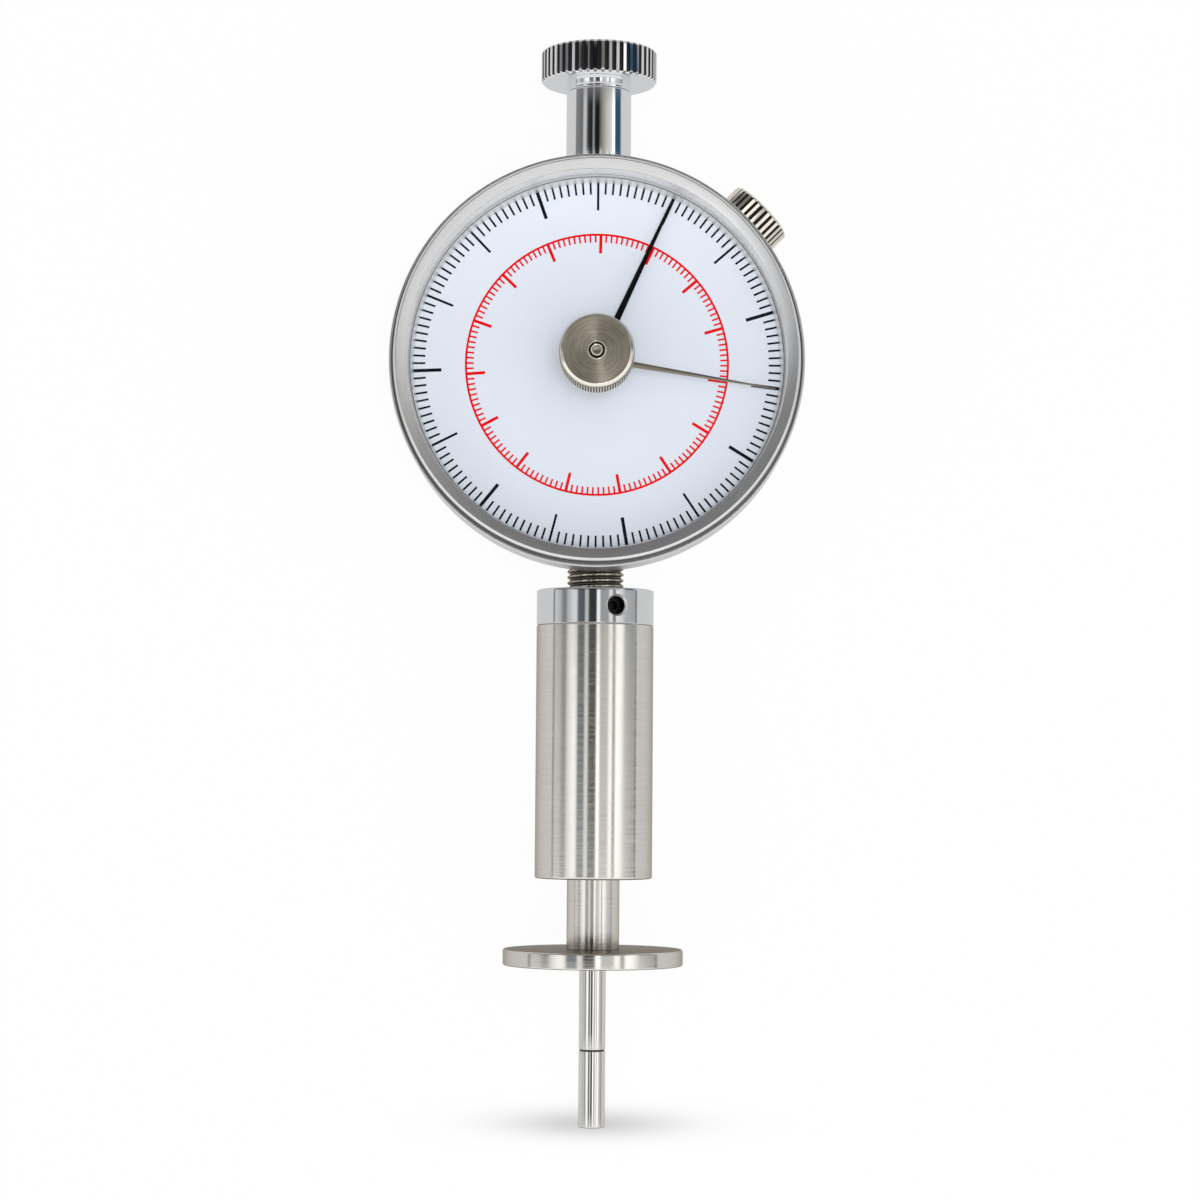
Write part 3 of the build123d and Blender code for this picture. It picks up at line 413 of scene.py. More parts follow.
@dataclass(frozen=True)
class Paint:
    """A painted or printed layer with a fine uneven surface."""

    name: str
    colour: Triple
    roughness: float
    specular: float = 0.5
    grain: float = 900.0
    grain_depth: float = 0.08
    grain_rise: float = 0.02
    tone_range: float = 0.02
    tone_density: float = 70.0

    def make(self) -> bpy.types.Material:
        """Builds the finish: fine noise gives the skin of the paint, and slow noise a slight change of tone.

        Returns:
            The material.
        """
        bench = Bench(self.name)
        shader = bench.shader
        bench.set(shader, {"Metallic": 0.0, "Roughness": self.roughness, "Specular IOR Level": self.specular})
        fine = bench.noise(bench.object_coordinates(), self.grain, detail=2.0, roughness=0.5)
        slow = bench.noise(bench.object_coordinates(), self.tone_density, detail=1.0, roughness=0.5)
        tone = bench.maths("MULTIPLY_ADD", slow, self.tone_range * 2, 1 - self.tone_range)
        bench.feed(bench.tinted(self.colour, tone), shader.inputs["Base Color"])
        bench.bumped(fine, self.grain_depth, self.grain_rise)
        return bench.material


@dataclass(frozen=True)
class ClearDome:
    """The crystal: it lets the dial through, darkens towards its rim as painted shade on the dial's edge, and adds a
    faint gloss.
    """

    name: str
    straight_gloss: float
    roughness: float
    clear_r: float
    rim_r: float
    clear_tint: Triple
    rim_shade: Triple

    def make(self) -> bpy.types.Material:
        """Builds the finish: a transparent shader mixed with a glossy one, from either face.

        The gloss has the share g + (1 - g) (1 - cos a)^5 at an angle a from the surface's normal, and the
        transparent colour goes in a straight line from clear to the rim's painted shade between the two radii.

        Returns:
            The material.
        """
        bench = Bench(self.name)
        # Painted shade at the dial's edge: the crystal darkens towards its rim.
        rim = bench.ease(bench.vector_maths("LENGTH", bench.flat_place()), self.clear_r * MM, self.rim_r * MM)
        clear = bench.node("ShaderNodeBsdfTransparent")
        bench.feed(bench.mix(rim, (*self.clear_tint, 1.0), (*self.rim_shade, 1.0)), clear.inputs["Color"])
        gloss = bench.node("ShaderNodeBsdfGlossy")
        bench.set(gloss, {"Color": (1.0, 1.0, 1.0, 1.0), "Roughness": self.roughness})
        facing = bench.node("ShaderNodeLayerWeight")
        bench.set(facing, {"Blend": 0.5})
        slant = bench.maths("POWER", facing.outputs["Facing"], 5.0)
        share = bench.maths("MULTIPLY_ADD", slant, 1 - self.straight_gloss, self.straight_gloss)
        mix = bench.node("ShaderNodeMixShader")
        bench.feed(share, mix.inputs["Fac"])
        bench.feed(clear.outputs["BSDF"], mix.inputs[1])
        bench.feed(gloss.outputs["BSDF"], mix.inputs[2])
        bench.show(mix.outputs["Shader"])
        bench.tree.nodes.remove(bench.shader)
        return bench.material


class Wiring:
    """A node tree in the making: short ways to add nodes, set their numbers and join them."""

    def __init__(self, tree: bpy.types.NodeTree) -> None:
        """Keeps the tree."""
        self.tree = tree

    def node(self, kind: str) -> bpy.types.Node:
        """Adds a node."""
        return self.tree.nodes.new(kind)

    def feed(self, value: object, socket: Socket) -> None:
        """Gives an input its value.

        Args:
            value: A number, a colour, a vector, or another node's output.
            socket: The input.
        """
        if isinstance(value, Socket):
            self.tree.links.new(value, socket)
        else:
            socket.default_value = value

    def set(self, node: bpy.types.Node, values: dict[str, object]) -> None:
        """Sets constants on a node's own sockets."""
        for name, value in values.items():
            node.inputs[name].default_value = value

    def worked_out(self, kind: str, operation: str, output: str, values: tuple[object, ...]) -> Socket:
        """Adds a Math or Vector Math node.

        Args:
            kind: The node's type.
            operation: What it does.
            output: The name of the output that is wanted.
            values: What its inputs get, in order.

        Returns:
            The output.
        """
        node = self.node(kind)
        node.operation = operation
        for socket, value in zip(node.inputs, values):
            self.feed(value, socket)
        return node.outputs[output]

    def maths(self, operation: str, *values: object) -> Socket:
        """The result of a Math node."""
        return self.worked_out("ShaderNodeMath", operation, "Value", values)

    def vector_maths(self, operation: str, *values: object) -> Socket:
        """The result of a Vector Math node, which is a number for a length and else a vector."""
        output = "Value" if operation == "LENGTH" else "Vector"
        return self.worked_out("ShaderNodeVectorMath", operation, output, values)

    def ease(self, value: Socket, start: float, end: float) -> Socket:
        """Turns a value into a share by a straight rise.

        Args:
            value: The value.
            start: Where the share is still zero.
            end: Where it has become one; it may be the lower of the two.

        Returns:
            The share.
        """
        run = self.node("ShaderNodeMapRange")
        self.feed(value, run.inputs["Value"])
        low, high = min(start, end), max(start, end)
        self.set(run, {"From Min": low, "From Max": high, "To Min": float(start > end), "To Max": float(start < end)})
        return run.outputs["Result"]

    def mix(self, factor: Socket, first: object, second: object) -> Socket:
        """Mixes two colours.

        Args:
            factor: Share of the second colour.
            first: A colour or an output.
            second: A colour or an output.

        Returns:
            The mixed colour.
        """
        node = self.node("ShaderNodeMix")
        node.data_type = "RGBA"
        colours = [socket for socket in node.inputs if socket.type == "RGBA"]
        for value, socket in zip((factor, first, second), (node.inputs["Factor"], *colours)):
            self.feed(value, socket)
        return next(socket for socket in node.outputs if socket.type == "RGBA")

    def split(self, vector: Socket) -> bpy.types.bpy_prop_collection:
        """Takes a vector apart.

        Args:
            vector: The vector.

        Returns:
            Its X, Y and Z outputs, by name.
        """
        node = self.node("ShaderNodeSeparateXYZ")
        self.feed(vector, node.inputs["Vector"])
        return node.outputs


class Bench(Wiring):
    """A material in the making, which starts with one Principled shader."""

    RING_PLACE = 0.02  # Rings take the noise as it is this far from its origin, in metres.

    def __init__(self, name: str) -> None:
        """Makes the material.

        Args:
            name: Its name.
        """
        self.material = bpy.data.materials.new(name)
        self.material.use_nodes = True
        super().__init__(self.material.node_tree)
        self.shader = self.tree.nodes["Principled BSDF"]

    def show(self, shader: Socket) -> None:
        """Makes another shader the material's surface."""
        output = next(n for n in self.tree.nodes if n.type == "OUTPUT_MATERIAL")
        self.feed(shader, output.inputs["Surface"])

    def object_coordinates(self) -> Socket:
        """The piece's own coordinates, which are the frame's."""
        return self.node("ShaderNodeTexCoord").outputs["Object"]

    def flat_place(self) -> Socket:
        """The place with its height taken away."""
        return self.vector_maths("MULTIPLY", self.object_coordinates(), (1, 1, 0))

    def noise(self, vector: Socket, scale: float, detail: float, roughness: float) -> Socket:
        """Adds a noise texture.

        Args:
            vector: Where the noise is read.
            scale: Its density, per metre.
            detail: Its octaves.
            roughness: Share of each finer octave.

        Returns:
            A value about one half.
        """
        node = self.node("ShaderNodeTexNoise")
        self.set(node, {"Scale": scale, "Detail": detail, "Roughness": roughness})
        self.feed(vector, node.inputs["Vector"])
        return node.outputs["Fac"]

    def tinted(self, colour: Triple, tone: Socket) -> Socket:
        """Multiplies a colour by a tone.

        Args:
            colour: The colour.
            tone: A number near one.

        Returns:
            The colour.
        """
        node = self.node("ShaderNodeVectorMath")
        node.operation = "SCALE"
        node.inputs[0].default_value = colour
        self.feed(tone, node.inputs["Scale"])
        return node.outputs["Vector"]

    def bumped(self, height: Socket, strength: float, rise: float) -> None:
        """Gives the Principled shader a bump.

        Args:
            height: The height at each place, as a share of the rise.
            strength: Strength of the bump.
            rise: The rise.
        """
        bump = self.node("ShaderNodeBump")
        self.set(bump, {"Strength": strength, "Distance": rise * MM})
        self.feed(height, bump.inputs["Height"])
        self.feed(bump.outputs["Normal"], self.shader.inputs["Normal"])

    def axis_coordinates(self, axis: Spindle, stretch: float) -> Socket:
        """Makes coordinates for lines round an axis: quick along it, and slower by the stretch round it.

        For the dial's axis the quick number is the height plus the distance from the axis, so that cones and
        flat faces get rings too, and the slow ones are the direction from the axis. The lock screw's axis lies
        an eighth of a turn from the long one.

        Args:
            axis: The axis.
            stretch: How much slower the lines change round the axis.

        Returns:
            The coordinates.
        """
        if axis is DIAL_AXIS:
            flat = self.flat_place()
            direction = self.split(self.vector_maths("NORMALIZE", flat))
            height = self.split(self.object_coordinates())["Z"]
            merged = self.node("ShaderNodeCombineXYZ")
            for name in "XY":
                self.feed(self.maths("MULTIPLY", direction[name], self.RING_PLACE * stretch), merged.inputs[name])
            self.feed(self.maths("ADD", self.vector_maths("LENGTH", flat), height), merged.inputs["Z"])
            return merged.outputs["Vector"]
        mapping = self.node("ShaderNodeMapping")
        mapping.vector_type = "POINT"
        turn = 0.0 if axis is LONG_AXIS else np.pi / 4
        self.set(mapping, {"Rotation": (0, 0, turn), "Scale": (stretch, 1.0, stretch)})
        self.feed(self.object_coordinates(), mapping.inputs["Vector"])
        return mapping.outputs["Vector"]


class Finish(Enum):
    """Every finish on the tester, by the record's slot or by a variant of it."""

    CASE_STEEL = Metal("case_steel", (0.55, 0.55, 0.55), 0.28, axis=DIAL_AXIS)
    SCREW_STEEL = Metal("screw_steel", (0.50, 0.50, 0.51), 0.3)
    DARK_THREAD = Metal("dark_thread", (0.50, 0.465, 0.40), 0.16, edge_tint=(0.5, 0.45, 0.38))
    CHROME = Metal("polished_chrome", (0.86, 0.87, 0.89), 0.05, roughness_range=0.02, line_depth=0.02, stain=0.01)
    # The collar's colour gets a painted dark reflection down its middle.
    COLLAR_CHROME = Metal(
        "collar_chrome", (0.82, 0.83, 0.85), 0.07, roughness_range=0.02, line_depth=0.03, painted_reflection_tone=0.6
    )
    # Painted highlight on the mouth of the collar's hole.
    MOUTH_HIGHLIGHT = Metal("mouth_highlight", (0.97, 0.97, 0.96), 0.45, roughness_range=0.02, line_depth=0.02)
    BLACK_SCREW = Metal("black_screw", (0.02, 0.02, 0.02), 0.4)
    SATIN_STEEL = Metal(
        "satin_steel", (0.81, 0.785, 0.735), 0.17, roughness_range=0.36, line_depth=0.14, line_tone=0.24,
        anisotropy=0.9, edge_tint=(0.60, 0.57, 0.52)
    )
    SPRING_STEEL = Metal("spring_steel", (0.42, 0.42, 0.44), 0.3)
    POLISHED_STEEL = Metal("polished_steel", (0.82, 0.80, 0.77), 0.06, roughness_range=0.03, line_depth=0.015)
    BEZEL_METAL = Metal(
        "bezel_metal", (0.745, 0.75, 0.752), 0.30, roughness_range=0.10, axis=DIAL_AXIS, line_depth=0.35,
        line_tone=0.20
    )
    NICKEL = Metal(
        "nickel", (0.45, 0.40, 0.325), 0.33, axis=DIAL_AXIS, line_density=5600.0, line_stretch=0.01,
        line_depth=0.25, line_tone=1.5, anisotropy=0.9, edge_tint=(0.95, 0.85, 0.70)
    )
    # Painted highlight on the reset knob's bevel, ring and spindle bevel; painted light on its knurl's lands.
    NICKEL_HIGHLIGHT = Metal("nickel_highlight", (0.95, 0.91, 0.83), 0.16, axis=DIAL_AXIS, line_depth=0.05)
    NICKEL_LIT_LAND = Metal("nickel_lit_land", (0.85, 0.78, 0.65), 0.3, axis=DIAL_AXIS, line_depth=0.05)
    LOCK_NICKEL = Metal("lock_nickel", (0.90, 0.86, 0.77), 0.10, axis=LOCK_AXIS, line_depth=0.1)
    HAND_NICKEL = Metal("hand_nickel", (0.30, 0.27, 0.22), 0.25)
    # Painted shade on the splash disc's upper face.
    DISC_FACE_SHADE = Metal("disc_face_shade", (0.40, 0.365, 0.31), 0.3, line_depth=0.1, edge_tint=(0.50, 0.46, 0.40))
    # Painted shade for grooves, wells, holes and edges.
    CHROME_SHADE = Metal("chrome_shade", (0.05, 0.05, 0.055), 0.25, line_depth=0.02)
    LOCK_SHADE = Metal("lock_shade", (0.035, 0.028, 0.018), 0.25, line_depth=0.05, edge_tint=(0.3, 0.25, 0.2))
    NICKEL_SHADE = Metal("nickel_shade", (0.12, 0.095, 0.065), 0.3, line_depth=0.05, edge_tint=(0.3, 0.25, 0.2))
    BEZEL_SHADE = Metal("bezel_shade", (0.30, 0.30, 0.30), 0.35, axis=DIAL_AXIS, edge_tint=(0.5, 0.5, 0.5))
    # Painted light on the bezel's well, and a painted highlight on its bead.
    BEZEL_LIT_WELL = Metal(
        "bezel_lit_well", (0.93, 0.915, 0.88), 0.50, axis=DIAL_AXIS, roughness_range=0.0, line_depth=0.02, stain=0.0
    )
    BEZEL_BEAD_HIGHLIGHT = Metal("bezel_bead_highlight", (0.90, 0.90, 0.89), 0.2, axis=DIAL_AXIS, line_depth=0.1)
    # More painted shade, for steel edges and marks and for the thread's grooves.
    STEEL_SHADE = Metal("steel_shade", (0.10, 0.095, 0.085), 0.35, line_depth=0.05)
    THREAD_SHADE = Metal("thread_shade", (0.16, 0.145, 0.12), 0.35, line_depth=0.05)
    BRASS = Metal("movement_brass", (0.72, 0.55, 0.27), 0.3, axis=DIAL_AXIS)
    CRYSTAL = ClearDome(
        "crystal_clear", straight_gloss=0.0032, roughness=0.0, clear_r=23.5, rim_r=24.2,
        clear_tint=(0.99, 0.995, 1.0), rim_shade=(0.93, 0.94, 0.955)
    )
    DIAL = Paint("dial_white", (0.75, 0.785, 0.855), 0.5)
    BLACK_PRINT = Paint("black_print", (0.004, 0.006, 0.011), 0.7, specular=0.06)
    RED_PRINT = Paint("red_print", (0.80, 0.003, 0.006), 0.7, specular=0.06)
    BLACK_HAND = Paint("black_hand", (0.003, 0.003, 0.003), 0.45, specular=0.08)


MATERIALS = {finish: finish.value.make() for finish in Finish}

# The finishes that a piece has besides its own: the painted shade of its grooves, wells and edges, then the second
# and the third, which are painted light or painted shade.
INNER_FINISHES = {
    Finish.CHROME: (Finish.CHROME_SHADE,),
    Finish.LOCK_NICKEL: (Finish.LOCK_SHADE,),
    Finish.NICKEL: (Finish.NICKEL_SHADE, Finish.NICKEL_HIGHLIGHT, Finish.NICKEL_LIT_LAND),
    Finish.COLLAR_CHROME: (Finish.CHROME_SHADE, Finish.MOUTH_HIGHLIGHT),
    Finish.BEZEL_METAL: (Finish.BEZEL_SHADE, Finish.BEZEL_LIT_WELL, Finish.BEZEL_BEAD_HIGHLIGHT),
    Finish.POLISHED_STEEL: (Finish.STEEL_SHADE,),
    Finish.SATIN_STEEL: (Finish.STEEL_SHADE, Finish.DISC_FACE_SHADE),
    Finish.DARK_THREAD: (Finish.THREAD_SHADE,),
}


class Body(Enum):
    """The rigid bodies of the frame that visible pieces ride on."""

    ROOT = "root"
    PLUNGER = "plunger"
    BEZEL = "bezel_assembly"
    DRIVE_HAND = "drive_hand"
    PEAK = "peak_pointer"
    LOCK = "locking_screw"
    CAP = "stem_cap"


def give_finish(mesh: bpy.types.Mesh, finish: Finish) -> None:
    """Gives a mesh its finish as the first material, and its inner finishes after it.

    Args:
        mesh: The mesh.
        finish: Its finish.
    """
    mesh.materials.clear()
    for each in (finish, *INNER_FINISHES.get(finish, ())):
        mesh.materials.append(MATERIALS[each])


def finish_mesh(mesh: bpy.types.Mesh, sharp_degrees: float) -> None:
    """Welds a mesh, turns its faces outwards and shades it smooth.

    Args:
        mesh: The mesh.
        sharp_degrees: Edges steeper than this stay sharp.
    """
    work = bmesh.new()
    work.from_mesh(mesh)
    bmesh.ops.remove_doubles(work, verts=work.verts, dist=WELD * MM)
    bmesh.ops.recalc_face_normals(work, faces=work.faces)
    work.to_mesh(mesh)
    work.free()
    mesh.polygons.foreach_set("use_smooth", np.ones(len(mesh.polygons), bool))
    mesh.set_sharp_from_angle(angle=np.radians(sharp_degrees))
    mesh.update()


def place_piece(piece: bpy.types.Object, body: Body, slot: str, *nodes: str) -> bpy.types.Object:
    """Makes a piece ride on its body and stand for its CAD nodes.

    Args:
        piece: The piece.
        body: The CAD body it rides on.
        slot: The record's material slot; not used.
        nodes: The CAD nodes it stands for.

    Returns:
        The piece.
    """
    bpy.context.scene.collection.objects.link(piece)
    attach(piece, body.value)
    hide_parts(*nodes)
    LOG.info("%s: %d faces, rides on %s", piece.name, len(piece.data.polygons), body.value)
    return piece


def add_piece(
    name: str, shell: Shell, finish: Finish, body: Body, slot: str, *nodes: str, sharp_degrees: float = 32.0
) -> bpy.types.Object:
    """Makes a piece of a surface.

    Args:
        name: Name of the piece.
        shell: Its surface.
        finish: Its finish.
        body: The CAD body it rides on.
        slot: The record's material slot.
        nodes: The CAD nodes it stands for.
        sharp_degrees: Edges steeper than this stay sharp.

    Returns:
        The piece.
    """
    mesh = bpy.data.meshes.new(name)
    mesh.from_pydata(shell.vertices * MM, [], shell.faces.tolist())
    give_finish(mesh, finish)
    mesh.polygons.foreach_set("material_index", shell.levels.astype(np.int32))
    finish_mesh(mesh, sharp_degrees)
    return place_piece(bpy.data.objects.new(name, mesh), body, slot, *nodes)


def dressed_copy(node: str, finish: Finish, slot: str, sharp_degrees: float = 28.0) -> bpy.types.Object:
    """Makes a welded, smooth copy of a CAD node of the case, for a cut shape that has no simple formula.

    Args:
        node: The CAD node.
        finish: Its finish.
        slot: The record's material slot.
        sharp_degrees: Edges steeper than this stay sharp.

    Returns:
        The piece.
    """
    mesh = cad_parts[node].data.copy()
    mesh.name = f"{node}_dressed"
    give_finish(mesh, finish)
    finish_mesh(mesh, sharp_degrees)
    return place_piece(bpy.data.objects.new(mesh.name, mesh), Body.ROOT, slot, node)


def paint_node(finish: Finish, *nodes: str) -> None:
    """Gives CAD nodes that stay as they are their finish.

    Args:
        finish: The finish.
        nodes: The CAD nodes.
    """
    for node in nodes:
        give_finish(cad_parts[node].data, finish)
        LOG.info("%s: kept from the frame, finish %s", node, finish.value.name)


@dataclass
class Plunger:
    """Probe, splash disc and plunger rod."""

    probe_r: float = 1.75
    probe_tip: float = -99.0
    tip_bevel: float = 0.12
    mark_y: float = -89.0
    mark_half: float = 0.13
    mark_depth: float = 0.12
    shank_r: float = 1.5
    shank_end: float = -70.5
    play: float = 0.03
    end_play: float = 0.1
    disc_r: float = 11.8
    disc_low: float = -78.0
    disc_high: float = -75.9
    disc_bevel: float = 0.14
    rod_r: float = 3.45
    seat_r: float = 6.3
    seat_low: float = -63.65
    seat_high: float = -62.0
    rack_bore_r: float = 2.03
    rack_bore_end: float = -68.0

    def probe(self) -> Shell:
        """A pin with a bevelled tip, a square mark groove and a thinner shank; the groove and bevel get painted
        shade.

        Returns:
            The surface.
        """
        r, tip, bevel, half = self.probe_r, self.probe_tip, self.tip_bevel, self.mark_half
        mark, floor_r = self.mark_y, self.probe_r - self.mark_depth
        profile = soften(
            (
                (0, tip, 0), (r - bevel, tip, 0.08), (r, tip + bevel, 0.08), (r, mark - half, 0.02),
                (floor_r, mark - half, 0.02), (floor_r, mark + half, 0.02), (r, mark + half, 0.02),
                (r, self.disc_low, 0.02), (self.shank_r, self.disc_low, 0.02), (self.shank_r, self.shank_end, 0.1),
                (0, self.shank_end, 0),
            ),
            closed=False,
        )
        # Painted shade on the mark groove and on the tip's bevel.
        mark_rows = rows_between(profile, (0, r - 0.02), (mark - half, mark + half))
        end_rows = rows_between(profile, (r - 0.2, r), (tip, tip + bevel - 0.01))
        return turned(LONG_AXIS, profile, False, full_turn(96), marks=Level.SHADE * (mark_rows + end_rows))

    def splash_disc(self) -> Shell:
        """A flat disc with a hole for the probe's shank; its lower bevel and its upper face get painted shade.

        Returns:
            The surface.
        """
        low, high, r, bevel = self.disc_low, self.disc_high, self.disc_r, self.disc_bevel
        hole = self.shank_r + self.play
        profile = soften(
            ((hole, low, 0), (r - bevel, low, 0.12), (r, low + bevel, 0.12), (r, high - bevel, 0.12),
             (r - bevel, high, 0.12), (hole, high, 0)),
            closed=True,
        )
        # Painted shade on the lower bevel and on the upper face.
        low_rows = rows_between(profile, (r - 0.3, r), (low, low + 0.10))
        face_rows = rows_between(profile, (hole - 0.01, r), (high - 0.01, high))
        marks = Level.SHADE * low_rows + Level.SECOND * face_rows
        return turned(LONG_AXIS, profile, True, full_turn(192), marks=marks)

    def rod(self) -> Shell:
        """The plunger rod with its wide spring seat, bored for the probe's shank and for the rack.

        Returns:
            The surface.
        """
        bore_r, bore_end = self.shank_r + self.play, self.shank_end + self.end_play
        profile = soften(
            ((0, bore_end, 0), (bore_r, bore_end, 0), (bore_r, self.disc_high, 0), (self.rod_r, self.disc_high, 0.08),
             (self.rod_r, self.seat_low, 0.02), (self.seat_r, self.seat_low, 0.1),
             (self.seat_r, self.seat_high, 0.1), (self.rack_bore_r, self.seat_high, 0),
             (self.rack_bore_r, self.rack_bore_end, 0), (0, self.rack_bore_end, 0)),
            closed=False,
        )
        return turned(LONG_AXIS, profile, False, full_turn(128))

    def build(self) -> None:
        """Makes the three visible pieces."""
        add_piece("probe_pin", self.probe(), Finish.POLISHED_STEEL, Body.PLUNGER, "polished_steel", "probe")
        add_piece("splash_plate", self.splash_disc(), Finish.SATIN_STEEL, Body.PLUNGER, "satin_steel", "splash_disc")
        add_piece("plunger_bar", self.rod(), Finish.SATIN_STEEL, Body.PLUNGER, "satin_steel", "plunger_rod")


@dataclass
class SpringBarrel:
    """Barrel, collar with its radial hole, and the threaded neck.

    The rings of the hole are the radius and the distance from the long axis of each row below its mouth.
    """

    barrel_r: float = 7.7
    edge_r: float = 7.0
    bore_r: float = 6.5
    rod_hole_r: float = 3.5
    bottom: float = -66.7
    floor_top: float = -63.7
    seam: float = -33.55
    seam_reach: float = 0.14
    seam_cut: float = 0.12
    top: float = -28.9
    spigot_r: float = 6.45
    spigot_end: float = -38.0
    neck_hole_r: float = 3.73
    hole_y: float = -31.2
    hole_degrees: float = 21.9
    mouth_r: float = 1.42
    hole_rings: tuple[Pair, ...] = ((1.36, 7.56), (1.27, 7.42), (1.2, 7.32), (1.2, 4.0), (0.0, 4.0))
    wall_rows: int = 6
    window_half: float = 1.68
    window_cells: int = 14
    neck_r: float = 3.7
    neck_bore_r: float = 2.05
    neck_top: float = -20.13
    thread: ScrewThread = ScrewThread(pitch=0.75, depth=0.36, low=-29.2, high=-25.85, inner_r=3.0)
    thread_rows: Pair = (-29.3, -25.7)
    thread_step: float = 0.05

    def barrel(self) -> Shell:
        """A tube with a floor, its lower edge rounded and its upper edge slightly broken; both edges get painted
        shade.

        Returns:
            The surface.
        """
        r, seam, bottom, hole = self.barrel_r, self.seam, self.bottom, self.rod_hole_r
        profile = soften(
            ((hole, bottom, 0.1), (r, bottom, 0.35), (r, seam - self.seam_reach, 0.03),
             (r - self.seam_cut, seam, 0.03), (self.bore_r, seam, 0.05), (self.bore_r, self.floor_top, 0),
             (hole, self.floor_top, 0)),
            closed=True,
        )
        # Painted shade on the upper edge at the seam and on the lower edge.
        seam_rows = rows_between(profile, (self.edge_r, r - 0.02), (seam - 0.2, seam))
        low_rows = rows_between(profile, (self.edge_r, r), (bottom, bottom + 0.19))
        return turned(LONG_AXIS, profile, True, full_turn(192), marks=Level.SHADE * (seam_rows + low_rows))

    def collar_wall(self) -> Shell:
        """The collar's ring, whose outer wall has a square window where the hole's panel goes.

        Returns:
            The surface.
        """
        half, cells, r = self.window_half, self.window_cells, self.barrel_r
        rows = np.linspace(self.hole_y - half, self.hole_y + half, cells + 1)
        outer = [(r, y) for y in rows]
        rest = soften(
            ((r, rows[-1] + 0.05, 0), (r, self.top, 0.35), (self.neck_hole_r, self.top, 0.1),
             (self.neck_hole_r, self.spigot_end, 0), (self.spigot_r, self.spigot_end, 0.1),
             (self.spigot_r, self.seam, 0.02), (r, self.seam, 0.13), (r, rows[0] - 0.05, 0)),
            closed=False,
        )
        profile = np.vstack([outer, rest])
        half_angle = half / r
        middle = np.radians(self.hole_degrees)
        window = np.linspace(-half_angle, half_angle, cells + 1) + middle
        angles = np.r_[window, np.linspace(half_angle, TURN - half_angle, 150)[1:-1] + middle]
        keep = np.ones((len(profile), len(angles)), bool)
        keep[:cells, :cells] = False
        return grid(LONG_AXIS.place(profile[:, 1:], profile[:, :1], angles[None, :]), True, True, keep)

    def hole_panel(self) -> Shell:
        """The window's panel: rows run from the square edge to the hole's mouth, down its cone, wall and floor.

        A point of the square's edge at (s, y) and the mouth's point in the same direction are blended linearly
        in the unrolled wall, then rolled up: angle = s / radius. Below the mouth the rows are circles round the
        hole's own axis. The mouth's edge gets a painted highlight and the hole's inside painted shade.

        Returns:
            The surface.
        """
        run = np.linspace(-1, 1, self.window_cells + 1)[:-1]
        one = np.ones(self.window_cells)
        square = np.vstack([np.c_[run, -one], np.c_[one, run], np.c_[-run, one], np.c_[-one, -run]])
        square = square * self.window_half
        direction = square / np.linalg.norm(square, axis=1, keepdims=True)
        blend = np.linspace(0, 1, self.wall_rows)[:, None, None]
        sheet = square[None] * (1 - blend) + direction[None] * self.mouth_r * blend
        middle = np.radians(self.hole_degrees)
        wall = LONG_AXIS.place(sheet[..., 1] + self.hole_y, np.full(sheet.shape[:2], self.barrel_r),
                               sheet[..., 0] / self.barrel_r + middle)
        outward = np.array([np.sin(middle), 0, np.cos(middle)])
        tangent = np.array([np.cos(middle), 0, -np.sin(middle)])
        upward = np.array([0, 1.0, 0])
        centre = np.array(LONG_AXIS.centre) + upward * self.hole_y
        radii, depth = np.array(self.hole_rings).T[..., None]
        across = tangent * (radii * direction[:, 0])[..., None] + upward * (radii * direction[:, 1])[..., None]
        rings = centre + outward * depth[..., None] + across
        # The mouth and the three rings of its cone get a painted highlight. The last two rings get painted shade,
        # and so does the wall above them, because a face takes its lowest number.
        marks = np.repeat([Level.OWN, Level.SECOND, Level.SHADE], [self.wall_rows - 1, 4, 2])[:, None]
        return grid(np.concatenate([wall, rings]), False, True, marks=marks)

    def neck(self) -> Shell:
        """The neck's tube with its helical thread between the collar and the case.

        Returns:
            The surface.
        """
        rows = np.arange(*self.thread_rows, self.thread_step)
        profile = np.vstack([
            [(self.neck_bore_r, self.spigot_end), (self.neck_r, self.spigot_end)],
            np.c_[np.full(len(rows), self.neck_r), rows],
            [(self.neck_r, self.neck_top), (self.neck_bore_r, self.neck_top)],
        ])
        # The thread's grooves get painted shade.
        return turned(LONG_AXIS, profile, True, full_turn(96), self.thread)

    def build(self) -> None:
        """Makes the visible pieces and finishes the screw in the collar."""
        add_piece("spring_barrel", self.barrel(), Finish.SATIN_STEEL, Body.ROOT, "satin_steel", "barrel")
        collar = self.collar_wall() + self.hole_panel()
        add_piece("clamp_collar", collar, Finish.COLLAR_CHROME, Body.ROOT, "polished_chrome", "collar")
        add_piece("threaded_neck", self.neck(), Finish.DARK_THREAD, Body.ROOT, "dark_thread", "neck")
        paint_node(Finish.BLACK_SCREW, "set_screw")


